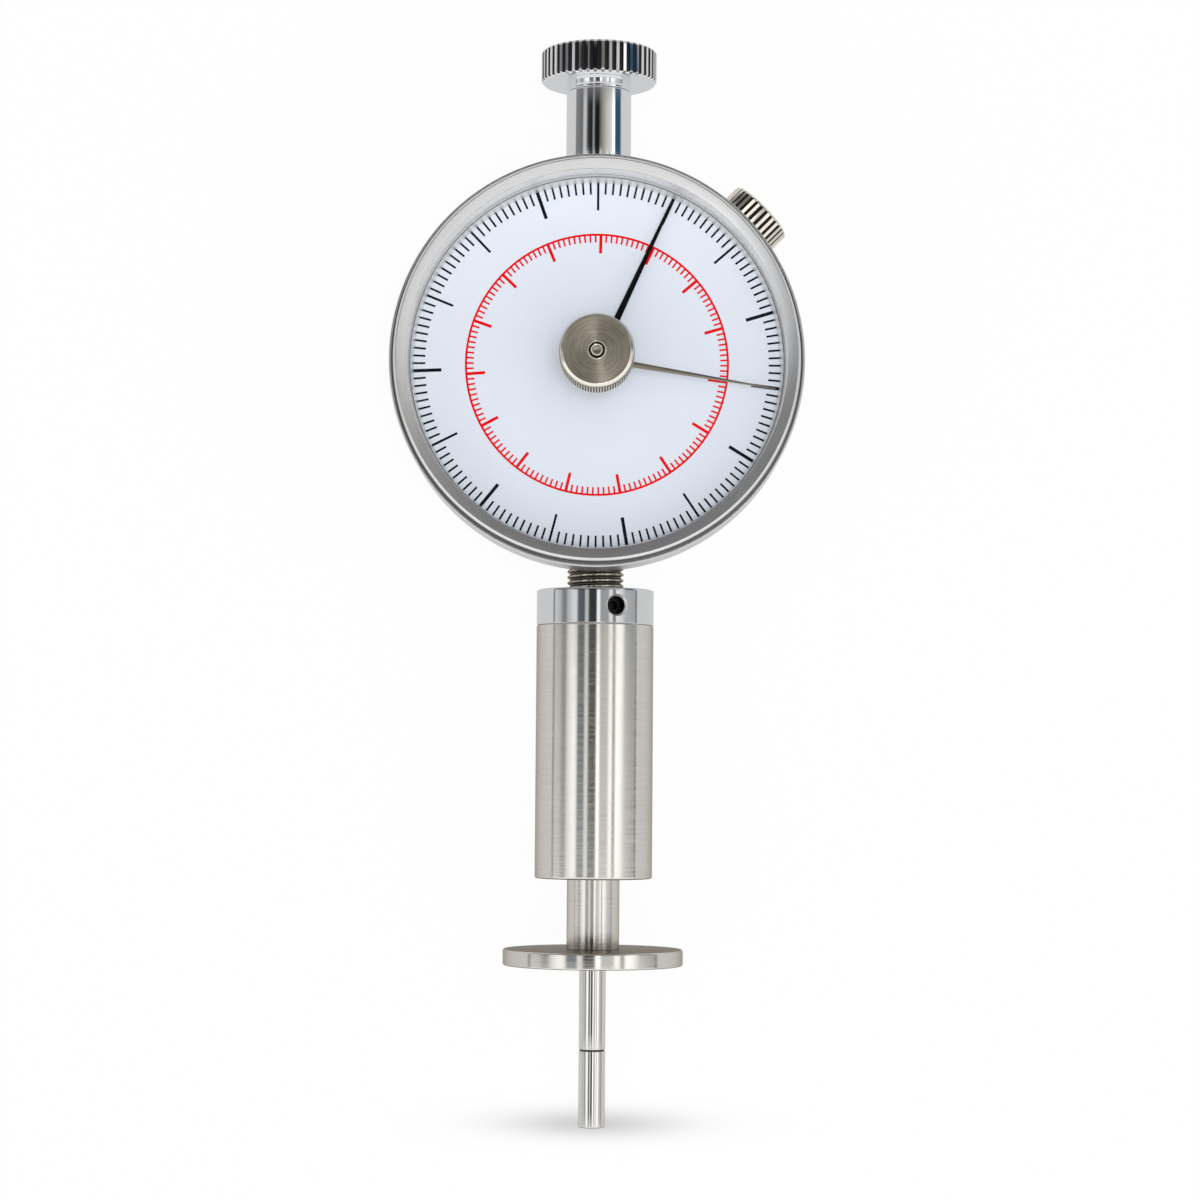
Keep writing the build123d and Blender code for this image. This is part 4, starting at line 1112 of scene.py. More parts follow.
@dataclass
class DialPrint:
    """The printed marks of both scales: thin blocks that point at the dial's centre, and a line round each scale.

    Every tenth mark is long. Lengths and widths are given for a short mark and a long one, and the outer widths
    for a strong one too. The strong marks are as long as the other long ones.
    """

    low: float = 20.0
    thickness: float = 0.03
    line_share: float = 0.9
    outer_line: Pair = (23.85, 24.25)
    outer_end: float = 23.9
    outer_count: int = 148
    outer_lengths: Pair = (1.6, 3.7)
    outer_widths: Triple = (0.25, 0.30, 0.43)
    strong_marks: tuple[int, ...] = (10, 30, 40, 50, 70, 90, 110, 140)
    circle_r: float = 17.0
    circle_half: float = 0.135
    inner_count: int = 150
    inner_start: float = 1.4
    inner_lengths: Pair = (1.0, 2.45)
    inner_widths: Pair = (0.225, 0.38)

    def line(self, inner: float, outer: float) -> Shell:
        """Makes a flat ring, a little thinner than the marks that cross it.

        Args:
            inner: Its inner radius.
            outer: Its outer radius.

        Returns:
            The surface.
        """
        top = self.low + self.line_share * self.thickness
        profile = np.array([(inner, self.low), (outer, self.low), (outer, top), (inner, top)])
        return turned(DIAL_AXIS, profile, True, full_turn(256))

    def marks(self, degrees: Array, end: float, length: Array, width: Array) -> Shell:
        """A block for each mark: corner = out (sin a, cos a) + side (cos a, -sin a), at both heights.

        Args:
            degrees: Clock angle of each mark.
            end: Distance of the outer ends from the centre.
            length: Length of each mark, inwards.
            width: Width of each mark.

        Returns:
            All the blocks as one surface.
        """
        east, north = (f(np.radians(degrees))[:, None] for f in (np.sin, np.cos))
        out = end - length[:, None] * np.array([1, 0, 0, 1] * 2)
        side = width[:, None] / 2 * np.array([-1, -1, 1, 1] * 2)
        height = np.broadcast_to(self.low + self.thickness * np.repeat([0, 1], 4), out.shape)
        points = np.stack([out * east + side * north, out * north - side * east, height], axis=-1)
        block = np.array([(3, 2, 1, 0), (4, 5, 6, 7), (0, 1, 5, 4), (1, 2, 6, 5), (2, 3, 7, 6), (3, 0, 4, 7)])
        faces = (np.arange(len(degrees))[:, None, None] * 8 + block).reshape(-1, 4)
        return Shell(points.reshape(-1, 3), faces, np.zeros(len(faces), int))

    def outer_scale(self) -> Shell:
        """Black marks, of which some of the long ones are strong, and the line at their outer ends.

        Returns:
            The surface.
        """
        number = np.arange(self.outer_count)
        tenth, strong = number % 10 == 0, np.isin(number, self.strong_marks)
        short, long, heavy = self.outer_widths
        width = np.where(strong, heavy, np.where(tenth, long, short))
        length = np.where(tenth, self.outer_lengths[1], self.outer_lengths[0])
        marks = self.marks(number * 360 / self.outer_count, self.outer_end, length, width)
        return marks + self.line(*self.outer_line)

    def inner_scale(self) -> Shell:
        """Red marks inwards from a red circle.

        Returns:
            The surface.
        """
        number = np.arange(self.inner_count)
        length, width = (np.where(number % 10 == 0, *pair[::-1]) for pair in (self.inner_lengths, self.inner_widths))
        degrees = self.inner_start + number * 360 / self.inner_count
        marks = self.marks(degrees, self.circle_r, length, width)
        return marks + self.line(self.circle_r - self.circle_half, self.circle_r + self.circle_half)

    def build(self) -> None:
        """Makes both scales."""
        add_piece("black_scale", self.outer_scale(), Finish.BLACK_PRINT, Body.BEZEL, "black_print", "outer_scale")
        add_piece("red_scale", self.inner_scale(), Finish.RED_PRINT, Body.BEZEL, "red_print", "inner_scale")


@dataclass
class DialCase:
    """Case, back cover, bezel, crystal and dial."""

    bore_r: float = 24.95
    outer_r: float = 26.7
    foot_r: float = 26.1
    foot_rise: float = 0.8
    shoulder_r: float = 26.35
    bead_depth: float = 0.25
    groove_depth: float = 0.3
    front_r: float = 25.75
    crystal_r: float = 24.4
    lip_r: float = 23.8
    bottom: float = 16.5
    front: float = 26.7
    land_drop: float = 2.0
    seat: float = 22.3
    ledge_radii: tuple[float, ...] = (24.2, 24.18, 24.1, 24.09)
    dial_place: Triple = (24.5, 19.5, 20.06)
    snap_groove: Triple = (25.35, 17.2, 17.9)
    dome_edge: float = 24.35
    dome_hole: float = 0.95
    dome_rise: float = 3.9
    dome_thickness: float = 1.0

    def bezel(self) -> Shell:
        """The bezel's ring: rounded foot, wall, land, ring groove with painted shade, bead, brushed band, ledge and
        well.

        The dial's place is the radius, floor and top of the recess for the dial plate, and the snap groove is
        given in the same way. The ledge's radii are those of the end of its painted light, of both ends of its
        painted shade, and of the top of the cone under it.

        Returns:
            The surface.
        """
        bottom, front, shoulder, seat = self.bottom, self.front, self.shoulder_r, self.seat
        bead, outer, bore, crystal = shoulder - self.bead_depth, self.outer_r, self.bore_r, self.crystal_r
        land = front - self.land_drop
        groove = land - self.groove_depth
        lit_ledge_end_r, ledge_shade_start_r, edge_r, cone_r = self.ledge_radii
        dial_r, dial_low, dial_high = self.dial_place
        snap_r, snap_low, snap_high = self.snap_groove
        profile = soften(
            (
                (bore, bottom, 0.05), (self.foot_r, bottom, 0.25), (outer, bottom + self.foot_rise, 0.3),
                (outer, land - 0.1, 0.12), (outer - 0.1, land, 0.05), (shoulder, land, 0.05),
                (shoulder, groove, 0.03), (bead, groove, 0.03), (bead, front - 0.4, 0.1),
                (bead - 0.06, front - 0.331, 0), (bead - 0.07, front - 0.32, 0), (self.front_r, front, 0.1),
                (crystal + 0.06, front - 0.42, 0.05), (crystal, front - 0.5, 0.04), (crystal, seat, 0.02),
                (lit_ledge_end_r, seat, 0), (ledge_shade_start_r, seat, 0), (edge_r, seat, 0.02), (cone_r, seat - 0.08, 0),
                (self.lip_r, dial_high, 0.03), (dial_r, dial_high, 0), (dial_r, dial_low, 0), (bore, dial_low, 0),
                (bore, snap_high, 0), (snap_r, snap_high, 0), (snap_r, snap_low, 0), (bore, snap_low, 0),
            ),
            closed=True,
        )
        # Painted shade on the ring groove, the ledge's dark part and the bead's flank; painted light on the well and
        # a painted highlight on the bead.
        groove_shade_rows = rows_between(profile, (bead - 0.02, shoulder + 0.02), (groove - 0.01, land - 0.02))
        well = rows_between(profile, (0, crystal + 0.03), (dial_low - 0.5, front - 0.44))
        ledge = rows_between(profile, (cone_r - 0.01, ledge_shade_start_r + 0.01), (seat - 0.03, seat + 0.03))
        bead_highlight_rows = rows_between(profile, (self.front_r - 0.02, bead - 0.065), (front - 0.5, front + 0.1))
        flank = rows_between(profile, (bead - 0.065, bead + 0.02), (front - 0.55, front))
        marks = Level.SHADE * (groove_shade_rows + ledge + flank) + Level.SECOND * well * (1 - ledge)
        marks = marks + Level.THIRD * bead_highlight_rows
        return turned(DIAL_AXIS, profile, True, full_turn(320), marks=marks)

    def crystal(self) -> Shell:
        """The dome: height = seat + rise (1 - (radius / edge)^2) on the inside, and its thickness above it.

        Returns:
            The surface.
        """
        out = np.linspace(self.dome_hole, self.dome_edge, 40)
        inside = np.c_[out, self.seat + self.dome_rise * (1 - (out / self.dome_edge) ** 2)]
        outside = (inside + [0, self.dome_thickness])[::-1]
        return turned(DIAL_AXIS, np.vstack([inside, outside]), True, full_turn(160))

    def build(self) -> None:
        """Makes the ring and dome, and finishes the case and the dial."""
        add_piece("bezel_ring", self.bezel(), Finish.BEZEL_METAL, Body.BEZEL, "bezel_metal", "bezel")
        add_piece("crystal_dome", self.crystal(), Finish.CRYSTAL, Body.BEZEL, "crystal_clear", "crystal")
        dressed_copy("case_body", Finish.CASE_STEEL, "case_steel")
        dressed_copy("back_cover", Finish.CASE_STEEL, "case_steel")
        dressed_copy("cover_screws", Finish.SCREW_STEEL, "screw_steel")
        paint_node(Finish.DIAL, "dial_plate")


@dataclass
class Hands:
    """Driving hand, peak hand, and the reset knob with its spindle."""

    driving_blade: Blade = Blade(
        angle=24.3, start=1.0, reach=23.4, heights=(22.6, 20.9), widths=(1.03, 0.34), thickness=0.16, ridge=0.02
    )
    peak_blade: Blade = Blade(
        angle=98.0, start=1.2, reach=23.4, heights=(25.3, 21.8), widths=(0.95, 0.16), thickness=0.14, ridge=0.07
    )
    driving_hub_r: Pair = (0.52, 1.8)
    peak_hub_r: Pair = (0.89, 1.6)
    hub_half: float = 0.3
    lug_out: float = 4.5
    lug_r: float = 0.25
    lug_low: float = 22.49
    lug_high: float = 24.65
    knob_base: float = 27.4
    knob_face: float = 33.0
    knob_r: float = 4.76
    knob_hole_r: float = 0.9
    face_r: float = 4.25
    face_drop: float = 0.1
    face_end_r: float = 1.26
    bevel_radii: Triple = (4.66, 4.64, 4.56)
    ring_radii: tuple[float, ...] = (1.24, 1.19, 1.12, 0.95, 0.94)
    wave: float = 0.006
    wave_rates: Pair = (33.0, 9.1)
    spindle_r: float = 0.87
    spindle_low: float = 24.7
    spindle_cut: float = 0.09
    crown_r: Pair = (0.62, 0.5)
    dimple_r: Pair = (0.28, 0.16)

    def hub(self, height: float, radii: Pair) -> Shell:
        """Makes a flat ring with rounded edges.

        Args:
            height: Height of its middle.
            radii: Its inner and outer radius.

        Returns:
            The surface.
        """
        (inner, outer), half = radii, self.hub_half
        profile = soften(
            ((inner, height - half, 0), (outer, height - half, 0.12), (outer, height + half, 0.12),
             (inner, height + half, 0)),
            closed=True,
        )
        return turned(DIAL_AXIS, profile, True, full_turn(64))

    def driving_hand(self) -> Shell:
        """The black hand: hub and a flat tapered blade."""
        return self.hub(self.driving_blade.heights[0], self.driving_hub_r) + self.driving_blade.shell()

    def peak_hand(self) -> Shell:
        """The nickel hand: hub, a slender ridged blade, and the lug that the driving hand pushes.

        Returns:
            The surface.
        """
        r, low, high = self.lug_r, self.lug_low, self.lug_high
        lug_profile = soften(((0, low, 0), (r, low, 0.05), (r, high, 0), (0, high, 0)), closed=False)
        angle = np.radians(self.peak_blade.angle)
        lug_axis = Spindle((np.sin(angle) * self.lug_out, np.cos(angle) * self.lug_out, 0), (0, 0, 1), (1, 0, 0))
        lug = turned(lug_axis, lug_profile, False, full_turn(24))
        return self.hub(self.peak_blade.heights[0], self.peak_hub_r) + self.peak_blade.shell() + lug

    def reset_knob(self) -> Shell:
        """A turned button: knurled side, bevel, ringed face, and a raised ring round its hole; bevel and ring are
        painted highlights.

        The face's height is face - drop + wave sin(33 r) sin(9.1 r), with the radius r in millimetres. The
        bevel's and the ring's radii run inwards.

        Returns:
            The surface.
        """
        face, top_r, base, side_r, hole = self.knob_face, self.face_r, self.knob_base, self.knob_r, self.knob_hole_r
        bevel_low, bevel_middle, bevel_high = self.bevel_radii
        ring_foot, ring_out, ring_in, well_r, well_floor_r = self.ring_radii
        floor = face - self.face_drop
        rings = np.linspace(top_r - 0.1, self.face_end_r, 80)
        wave = self.wave * np.sin(rings * self.wave_rates[0]) * np.sin(rings * self.wave_rates[1])
        rim = soften(
            (
                (hole, base, 0), (side_r - 0.2, base, 0.1), (side_r, base + 0.2, 0.1), (side_r, face - 0.75, 0.05),
                (bevel_low, face - 0.62, 0.04), (bevel_middle, face - 0.30, 0.05), (bevel_high, face - 0.19, 0.05),
                (top_r + 0.02, face, 0.04), (top_r - 0.04, face, 0.02), (top_r - 0.09, floor, 0.02),
            ),
            closed=False,
        )
        centre = soften(
            (
                (ring_foot, floor, 0), (ring_out, face + 0.05, 0.04), (ring_in, face + 0.06, 0.04),
                (well_r, face - 0.18, 0.04), (well_floor_r, face - 0.6, 0), (hole, face - 0.7, 0),
            ),
            closed=False,
        )
        profile = np.vstack([rim, np.c_[rings, floor + wave], centre])
        knurl = Flutes(
            count=84, depth=0.09, share=0.3, low=base + 0.15, high=face - 0.72, inner_r=4.0, groove_points=5,
            land_points=1,
        )
        # Painted shade in the hole's well and the knurl's grooves, painted highlights on the bevel and the ring, and
        # painted light on the knurl's lands.
        well = rows_between(profile, (0, well_r + 0.01), (base, face - 0.15))
        bevels = rows_between(profile, (top_r - 0.01, bevel_low + 0.01), (face - 0.60, face + 0.01))
        ring = rows_between(profile, (well_r, ring_foot + 0.01), (face - 0.19, face + 0.1))
        side = rows_between(profile, (side_r - 0.02, side_r), (base + 0.1, face - 0.7))
        marks = Level.SHADE * well + Level.SECOND * (bevels + ring * (1 - well))
        return turned(DIAL_AXIS, profile, True, knurl.angles(), knurl, np.maximum(marks, Level.THIRD * side))

    def reset_spindle(self) -> Shell:
        """The spindle's end: a button with a small dimple, whose bevel gets a painted highlight.

        Returns:
            The surface.
        """
        face, r, low, thin = self.knob_face, self.spindle_r, self.spindle_low, self.spindle_r - self.spindle_cut
        (crown_out, crown_in), (dimple_out, dimple_in) = self.crown_r, self.dimple_r
        profile = soften(
            ((0, low, 0), (r, low, 0.05), (r, face - 0.6, 0.03), (thin, face - 0.5, 0.03),
             (thin, face - 0.12, 0.04), (crown_out, face + 0.05, 0.05), (crown_in, face + 0.02, 0.05),
             (dimple_out, face - 0.02, 0.06), (dimple_in, face - 0.12, 0.08), (0, face - 0.15, 0)),
            closed=False,
        )
        # Painted highlight on the bevel.
        bevel = rows_between(profile, (crown_out - 0.02, r - 0.05), (face - 0.14, face + 0.1))
        return turned(DIAL_AXIS, profile, False, full_turn(64), marks=Level.SECOND * bevel)

    def build(self) -> None:
        """Makes both hands and the reset knob."""
        driving = self.driving_hand()
        add_piece("black_pointer", driving, Finish.BLACK_HAND, Body.DRIVE_HAND, "black_hand", "driving_hand")
        add_piece("peak_needle", self.peak_hand(), Finish.HAND_NICKEL, Body.PEAK, "nickel", "peak_hand")
        add_piece("reset_button", self.reset_knob(), Finish.NICKEL, Body.PEAK, "nickel", "reset_knob")
        add_piece("reset_pin", self.reset_spindle(), Finish.NICKEL, Body.PEAK, "nickel", "reset_spindle")


@dataclass
class StemAndKnobs:
    """The polished stem, its fluted end knob, and the fluted lock screw on the case."""

    stem_r: float = 4.3
    stem_bore_r: float = 3.0
    stem_screw_r: float = 3.7
    stem_low: float = 20.13
    stem_step: float = 25.92
    stem_top: float = 37.5
    stud_r: float = 2.95
    stud_end: float = 33.93
    boss_low: float = 37.55
    boss_groove: Pair = (38.0, 38.17)
    knob_low: float = 38.7
    knob_high: float = 43.0
    knob_r: float = 7.65
    knob_bevel_r: float = 7.3
    knob_bevel: float = 0.28
    knob_face_r: float = 6.9
    shank_r: Pair = (1.05, 1.45)
    shank_end: float = 22.2
    shank_waist: Pair = (24.9, 26.2)
    shank_taper: float = 0.4
    lock_low: float = 26.4
    lock_high: float = 30.8
    lock_r: float = 4.55
    lock_bevel: float = 0.3
    lock_core_r: float = 3.85

    def stem(self) -> Shell:
        """A tube: full width above the case, screw width inside it.

        Returns:
            The surface.
        """
        bore, screw, r, low, step = self.stem_bore_r, self.stem_screw_r, self.stem_r, self.stem_low, self.stem_step
        profile = soften(
            ((bore, low, 0), (screw, low, 0.1), (screw, step, 0), (r, step, 0.05), (r, self.stem_top, 0.12),
             (bore, self.stem_top, 0.05)),
            closed=True,
        )
        return turned(LONG_AXIS, profile, True, full_turn(128))

    def end_knob(self) -> Shell:
        """The fluted disc on its boss, whose side has one fine groove, with the stud that enters the stem.

        Returns:
            The surface.
        """
        low, high, r, bevel_r, boss_r = self.knob_low, self.knob_high, self.knob_r, self.knob_bevel_r, self.stem_r
        stud, end, boss, bevel = self.stud_r, self.stud_end, self.boss_low, self.knob_bevel
        groove_low, groove_high = self.boss_groove
        profile = soften(
            (
                (0, end, 0), (stud, end, 0.1), (stud, boss, 0), (boss_r - 0.1, boss, 0.05),
                (boss_r, boss + 0.1, 0.05), (boss_r, groove_low, 0.02), (boss_r - 0.06, groove_low + 0.05, 0.02),
                (boss_r - 0.06, groove_high - 0.05, 0.02), (boss_r, groove_high, 0.02), (boss_r, low, 0.03),
                (bevel_r, low, 0.02), (r, low + bevel, 0.08), (r, high - bevel, 0.08), (bevel_r, high, 0.02),
                (self.knob_face_r, high, 0), (0, high, 0),
            ),
            closed=False,
        )
        flutes = Flutes(
            count=48, depth=0.24, share=0.30, low=low + 0.02, high=high - 0.02, inner_r=bevel_r + 0.02
        )
        # The flutes' grooves get painted shade.
        return turned(LONG_AXIS, profile, False, flutes.angles(), flutes)

    def lock_screw(self) -> Shell:
        """The fluted head and the waisted shank inside the case.

        Returns:
            The surface.
        """
        low, high, r, end = self.lock_low, self.lock_high, self.lock_r, self.shank_end
        (thin, thick), (waist_low, waist_high) = self.shank_r, self.shank_waist
        taper, bevel = self.shank_taper, self.lock_bevel
        profile = soften(
            (
                (0, end, 0), (thin, end, 0), (thick, end + taper, 0), (thick, waist_low - taper, 0),
                (thin, waist_low, 0), (thin, waist_high, 0), (thick, low, 0), (r - bevel, low, 0.05),
                (r, low + bevel, 0.1), (r, high - bevel, 0.08), (r - bevel, high, 0.1), (0, high, 0),
            ),
            closed=False,
        )
        flutes = Flutes(
            count=32, depth=0.26, share=0.25, low=low + 0.1, high=high - 0.2, inner_r=self.lock_core_r
        )
        # The flutes' grooves get painted shade.
        return turned(LOCK_AXIS, profile, False, flutes.angles(), flutes)

    def build(self) -> None:
        """Makes the three pieces."""
        add_piece("stem_tube", self.stem(), Finish.CHROME, Body.ROOT, "polished_chrome", "stem")
        add_piece("fluted_knob", self.end_knob(), Finish.CHROME, Body.CAP, "polished_chrome", "end_knob")
        add_piece("lock_crown", self.lock_screw(), Finish.LOCK_NICKEL, Body.LOCK, "nickel", "lock_screw")


@dataclass
class Movement:
    """The inner pieces, which stay as the frame has them, but for the main spring, which gets a welded copy of its
    own.
    """

    brass: tuple[str, ...] = (
        "stem_bush", "rack_guide", "rear_plate", "middle_plate", "front_plate", "lower_spacers", "middle_spacers",
        "upper_spacers", "transfer_wheel", "hairspring_collet", "hairspring_stud", "friction_washer", "dial_ring",
    )
    steel: tuple[str, ...] = (
        "movement_screws", "neck_nut", "stem_nut", "guide_pin", "brake_pin", "snap_ring", "spring_washer",
    )
    polished: tuple[str, ...] = ("pinion_arbor", "centre_arbor", "rack_rod")
    spring_end: Triple = (0.0, -38.8, AXIS_Z)
    spring_length: float = 23.2
    travel: float = 8.0

    def build(self) -> None:
        """Finishes every inner piece by its metal, and gives the main spring a welded copy with a mesh of its own."""
        paint_node(Finish.BRASS, *self.brass)
        paint_node(Finish.SCREW_STEEL, *self.steel)
        paint_node(Finish.SPRING_STEEL, "hairspring")
        spring = dressed_copy("main_spring", Finish.SPRING_STEEL, "spring_steel")
        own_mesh(spring)
        paint_node(Finish.POLISHED_STEEL, *self.polished)


Stops = tuple[tuple[float, float | Triple], ...]


def colour_of(tone: float | Triple) -> tuple[float, float, float, float]:
    """A full colour of a grey tone or of a colour's three shares."""
    return (*(tone if isinstance(tone, tuple) else (tone,) * 3), 1.0)


@dataclass
class Studio:
    """Pale floor, soft light from all round with dark flags between the panels, and the camera."""

    floor_half: float = 3.0
    floor_drop: float = 0.02
    floor_tone: float = 0.05
    glow_seen: float = 0.945
    glow_reflected: float = 0.62
    # A painted shadow on the floor under the probe's tip: its place, half widths and depth.
    painted_shadow_y: float = -99.9
    painted_shadow_half: Pair = (8.1, 1.3)
    painted_shadow_share: float = 0.38
    camera_place: Triple = (0.62, -54.6, 401.0)
    camera_tilt: float = 3.6
    camera_roll: float = 0.42
    lens: float = 88.68
    sensor: float = 36.0

    # Large panels above the dial, and small ones for one piece each: the large have a place in metres, the
    # small the way towards them from the dial's front, and both have a size in metres and a power in watts.
    large_panels: tuple[tuple[str, Triple, float, float], ...] = (
        ("wide_panel", (0.0, 0.05, 0.9), 0.9, 2.4),
        ("key_panel", (0.05, -0.08, 0.9), 0.26, 2.1),
    )
    dial_front: Triple = (0.0, 0.0, 0.03)
    small_distance: float = 0.35
    small_panels: tuple[tuple[str, Triple, float, float], ...] = (
        ("reset_button", (0.103, -0.36, 0.927), 0.05, 0.07),
        ("bezel_ring", (-0.46, -0.24, 0.856), 0.16, 0.032),
        ("lock_crown", (-0.40, 0.40, 0.82), 0.26, 0.20),
        ("clamp_collar", (0.15, -0.50, 0.85), 0.10, 0.07),
    )

    # Light seen from the tester at each angle round its long axis: 0 is straight up from the dial.
    low_band: Stops = (
        (-180, 0.6), (-90, 0.25), (-87, 0.25), (-85, 0.68), (-73, 0.62), (-65, 0.33), (-60, 0.33), (-54, 0.85),
        (-42, 1.30), (-36, 1.15), (-33, (0.19, 0.22, 0.25)), (-21, (0.16, 0.19, 0.22)), (-19, 0.90), (-13.5, 0.90),
        (-11.5, 0.08), (2.5, 0.06), (4, 1.7), (8.5, 1.7), (11, 0.60), (26, 0.62), (28.5, 1.35), (34, 1.35),
        (36, 0.34), (40, 0.34), (42.5, 1.5), (52, 1.25), (62, 0.66), (80, 0.45), (85, 0.45), (87, 0.2), (90, 0.2),
        (180, 0.6),
    )
    high_band: Stops = (
        (-180, 0.6), (-92, 0.5), (-88, 0.25), (-74, 0.20), (-60, 0.16), (-55, 0.55), (-46, 0.6), (-43, 0.2),
        (-36, 0.03), (-22.5, 0.02), (-21, 0.28), (-15, 0.24), (-13, 0.015), (0, 0.01), (5, (0.13, 0.12, 0.10)),
        (12, (0.28, 0.26, 0.22)), (30, (0.58, 0.56, 0.52)), (47, (0.78, 0.76, 0.72)), (51, 1.3), (59, 1.2),
        (62, (0.03, 0.09, 0.15)), (82, (0.03, 0.09, 0.15)), (88, 0.6), (180, 0.6),
    )
    near_wall: Triple = (0.95, 0.95, 0.94)
    far_walls: tuple[Triple, Triple] = ((0.28, 0.28, 0.285), (0.19, 0.19, 0.195))

    # Where one belt turns into the next, by the y share of the direction.
    near_edge: Pair = (-0.21, -0.15)
    middle_edge: Pair = (0.12, 0.17)
    far_edge: Pair = (0.29, 0.38)
    last_edge: Pair = (0.42, 0.60)

    def ramp(self, wiring: Wiring, factor: Socket, stops: Stops) -> Socket:
        """Adds a colour ramp over the angle: place = angle / 360 + 0.5.

        Args:
            wiring: The world's nodes.
            factor: The place on the ramp.
            stops: Angle in degrees and tone of each stop.

        Returns:
            The colour.
        """
        node = wiring.node("ShaderNodeValToRGB")
        elements = node.color_ramp.elements
        elements.remove(elements[-1])
        for number, (angle, tone) in enumerate(stops):
            place = angle / 360 + 0.5
            element = elements[0] if number == 0 else elements.new(place)
            element.position, element.color = place, colour_of(tone)
        wiring.feed(factor, node.inputs["Fac"])
        return node.outputs["Color"]

    def world(self) -> None:
        """Light from all round: the angle atan2(x, z) picks a stripe, and y picks one of five belts.

        From the probe's side to the knob's side the belts are a bright wall, the barrel's stripes, the stem's
        stripes, a dim wall and a dimmer one.
        """
        world = bpy.data.worlds.new("soft_studio")
        bpy.context.scene.world = world
        world.use_nodes = True
        wiring = Wiring(world.node_tree)
        direction = wiring.split(wiring.node("ShaderNodeTexCoord").outputs["Generated"])
        angle = wiring.maths("ARCTAN2", direction["X"], direction["Z"])
        factor = wiring.maths("MULTIPLY_ADD", angle, 1 / TURN, 0.5)
        low, high = (self.ramp(wiring, factor, band) for band in (self.low_band, self.high_band))
        y = direction["Y"]
        stripes = wiring.mix(wiring.ease(y, *self.middle_edge), low, high)
        stripes = wiring.mix(wiring.ease(y, *self.near_edge), colour_of(self.near_wall), stripes)
        far_wall = wiring.mix(wiring.ease(y, *self.last_edge), *(colour_of(wall) for wall in self.far_walls))
        light = wiring.mix(wiring.ease(y, *self.far_edge), stripes, far_wall)
        wiring.feed(light, world.node_tree.nodes["Background"].inputs["Color"])

    def floor(self) -> None:
        """A large pale sheet: its own glow is stronger to the camera than in reflections.

        Under the probe's tip the glow is less by a painted soft shadow: share x exp(-(x^2 / a^2 + y^2 / b^2) / 2).
        """
        mesh = bpy.data.meshes.new("pale_floor")
        half = self.floor_half
        corners = np.array([(-half, -half, 0), (half, -half, 0), (half, half, 0), (-half, half, 0)])
        mesh.from_pydata(corners - [0, 0, self.floor_drop * MM], [], [(0, 1, 2, 3)])
        floor = bpy.data.objects.new("pale_floor", mesh)
        bpy.context.scene.collection.objects.link(floor)
        bench = Bench("pale_floor")
        sheet = bench.node("ShaderNodeBsdfDiffuse")
        bench.set(sheet, {"Color": colour_of(self.floor_tone)})
        glow = bench.node("ShaderNodeEmission")
        camera_share = bench.node("ShaderNodeLightPath").outputs["Is Camera Ray"]
        seen = bench.maths("MULTIPLY_ADD", camera_share, self.glow_seen - self.glow_reflected, self.glow_reflected)
        # Painted shadow under the probe's tip: the floor's glow is dimmed by a soft spot.
        place = bench.split(bench.object_coordinates())
        across = bench.maths("MULTIPLY", place["X"], 1 / (self.painted_shadow_half[0] * MM))
        along = bench.maths("SUBTRACT", place["Y"], self.painted_shadow_y * MM)
        along = bench.maths("MULTIPLY", along, 1 / (self.painted_shadow_half[1] * MM))
        square = bench.maths("MULTIPLY_ADD", across, across, bench.maths("MULTIPLY", along, along))
        painted_shadow = bench.maths("EXPONENT", bench.maths("MULTIPLY", square, -0.5))
        dimmed = bench.maths("MULTIPLY_ADD", painted_shadow, -self.painted_shadow_share, 1.0)
        bench.feed(bench.maths("MULTIPLY", seen, dimmed), glow.inputs["Strength"])
        total = bench.node("ShaderNodeAddShader")
        bench.feed(sheet.outputs["BSDF"], total.inputs[0])
        bench.feed(glow.outputs["Emission"], total.inputs[1])
        bench.show(total.outputs["Shader"])
        mesh.materials.append(bench.material)

    def lights(self) -> None:
        """Large soft panels, hidden from the metal's reflections, and small panels that light one piece each."""
        for name, place, size, power in self.large_panels:
            self.panel(name, place, size, power).visible_glossy = False
        for piece, way, size, power in self.small_panels:
            place = self.dial_front + np.array(way) * self.small_distance
            light = self.panel(f"{piece}_panel", place, size, power)
            light.rotation_euler = Vector(way).to_track_quat("Z", "Y").to_euler()
            group = bpy.data.collections.new(f"{piece}_lit")
            group.objects.link(bpy.data.objects[piece])
            light.light_linking.receiver_collection = group

    def panel(self, name: str, place: Array | Triple, size: float, power: float) -> bpy.types.Object:
        """Makes a square area light that looks down.

        Args:
            name: Its name.
            place: Its place, in metres.
            size: Its side, in metres.
            power: Its power, in watts.

        Returns:
            The light.
        """
        data = bpy.data.lights.new(name, "AREA")
        data.shape, data.size, data.energy = "SQUARE", size, power
        light = bpy.data.objects.new(name, data)
        light.location = place
        bpy.context.scene.collection.objects.link(light)
        return light

    def camera(self) -> None:
        """A long lens above the barrel, tilted towards the end knob and turned a little about its own line."""
        data = bpy.data.cameras.new("camera")
        data.lens, data.sensor_width = self.lens, self.sensor
        data.clip_start, data.clip_end = 0.01, 20.0
        camera = bpy.data.objects.new("camera", data)
        tilt = Matrix.Rotation(np.radians(self.camera_tilt), 4, "X")
        roll = Matrix.Rotation(np.radians(self.camera_roll), 4, "Z")
        camera.matrix_world = Matrix.Translation([v * MM for v in self.camera_place]) @ tilt @ roll
        bpy.context.scene.collection.objects.link(camera)
        bpy.context.scene.camera = camera
        bpy.context.scene.view_settings.view_transform = "Standard"

    def build(self) -> None:
        """Sets up the whole studio."""
        self.floor()
        self.world()
        self.lights()
        self.camera()


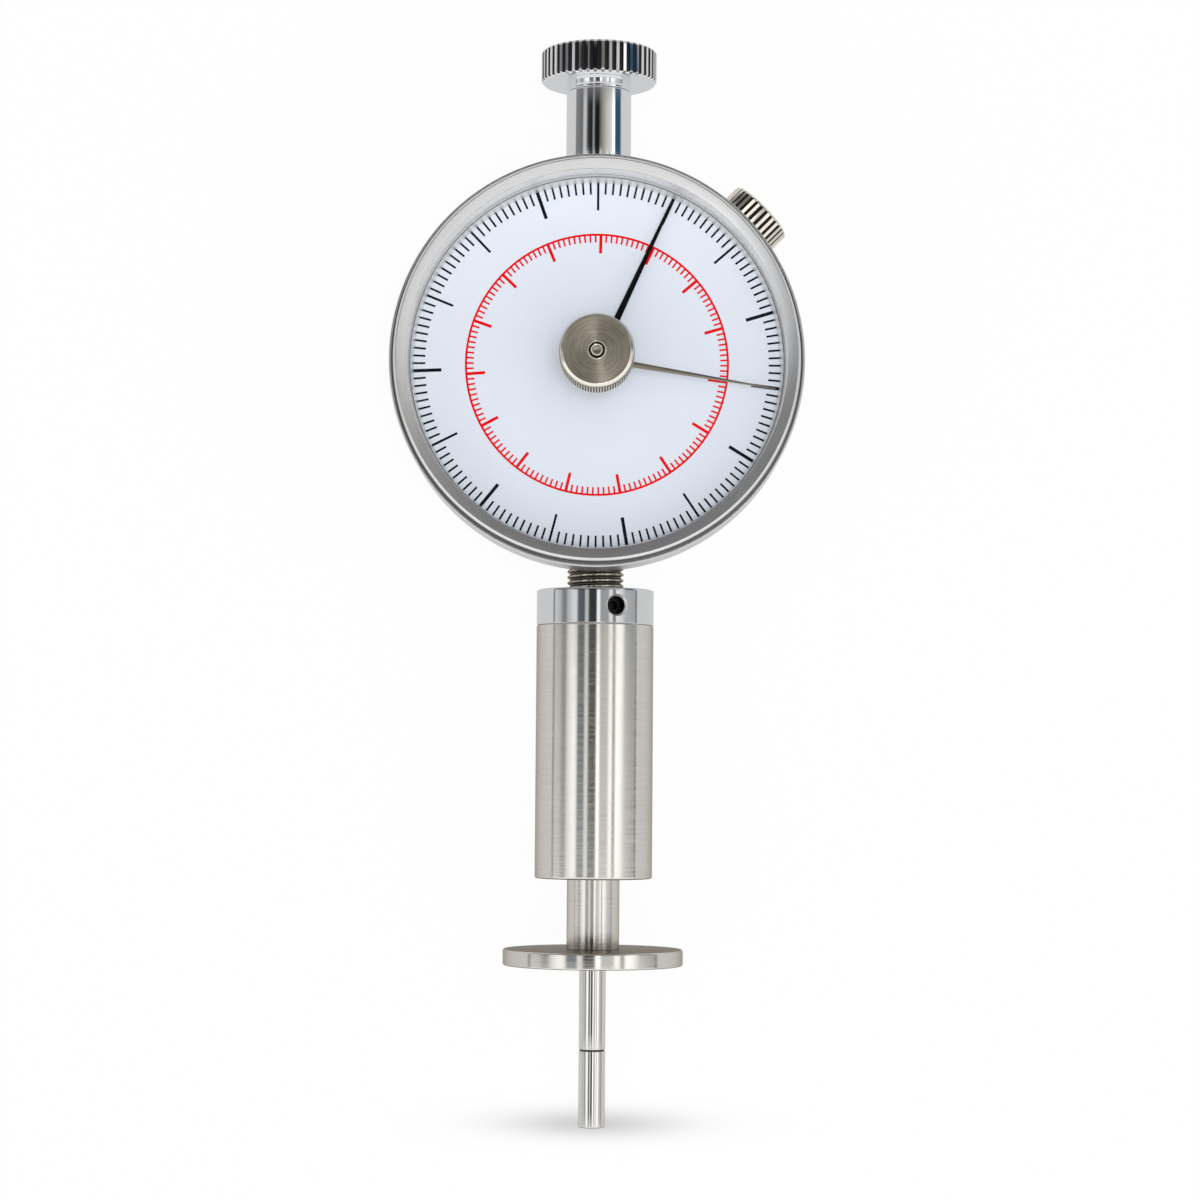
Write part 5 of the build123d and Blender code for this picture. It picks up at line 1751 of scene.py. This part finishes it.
def main() -> None:
    """Builds the tester group by group, then the studio."""
    logging.basicConfig(level=logging.INFO, format="%(name)s: %(message)s")
    groups = (Plunger(), SpringBarrel(), DialCase(), DialPrint(), Hands(), StemAndKnobs(), Movement(), Studio())
    for group in groups:
        LOG.info("building %s", type(group).__name__)
        group.build()


if __name__ == "__main__":
    main()
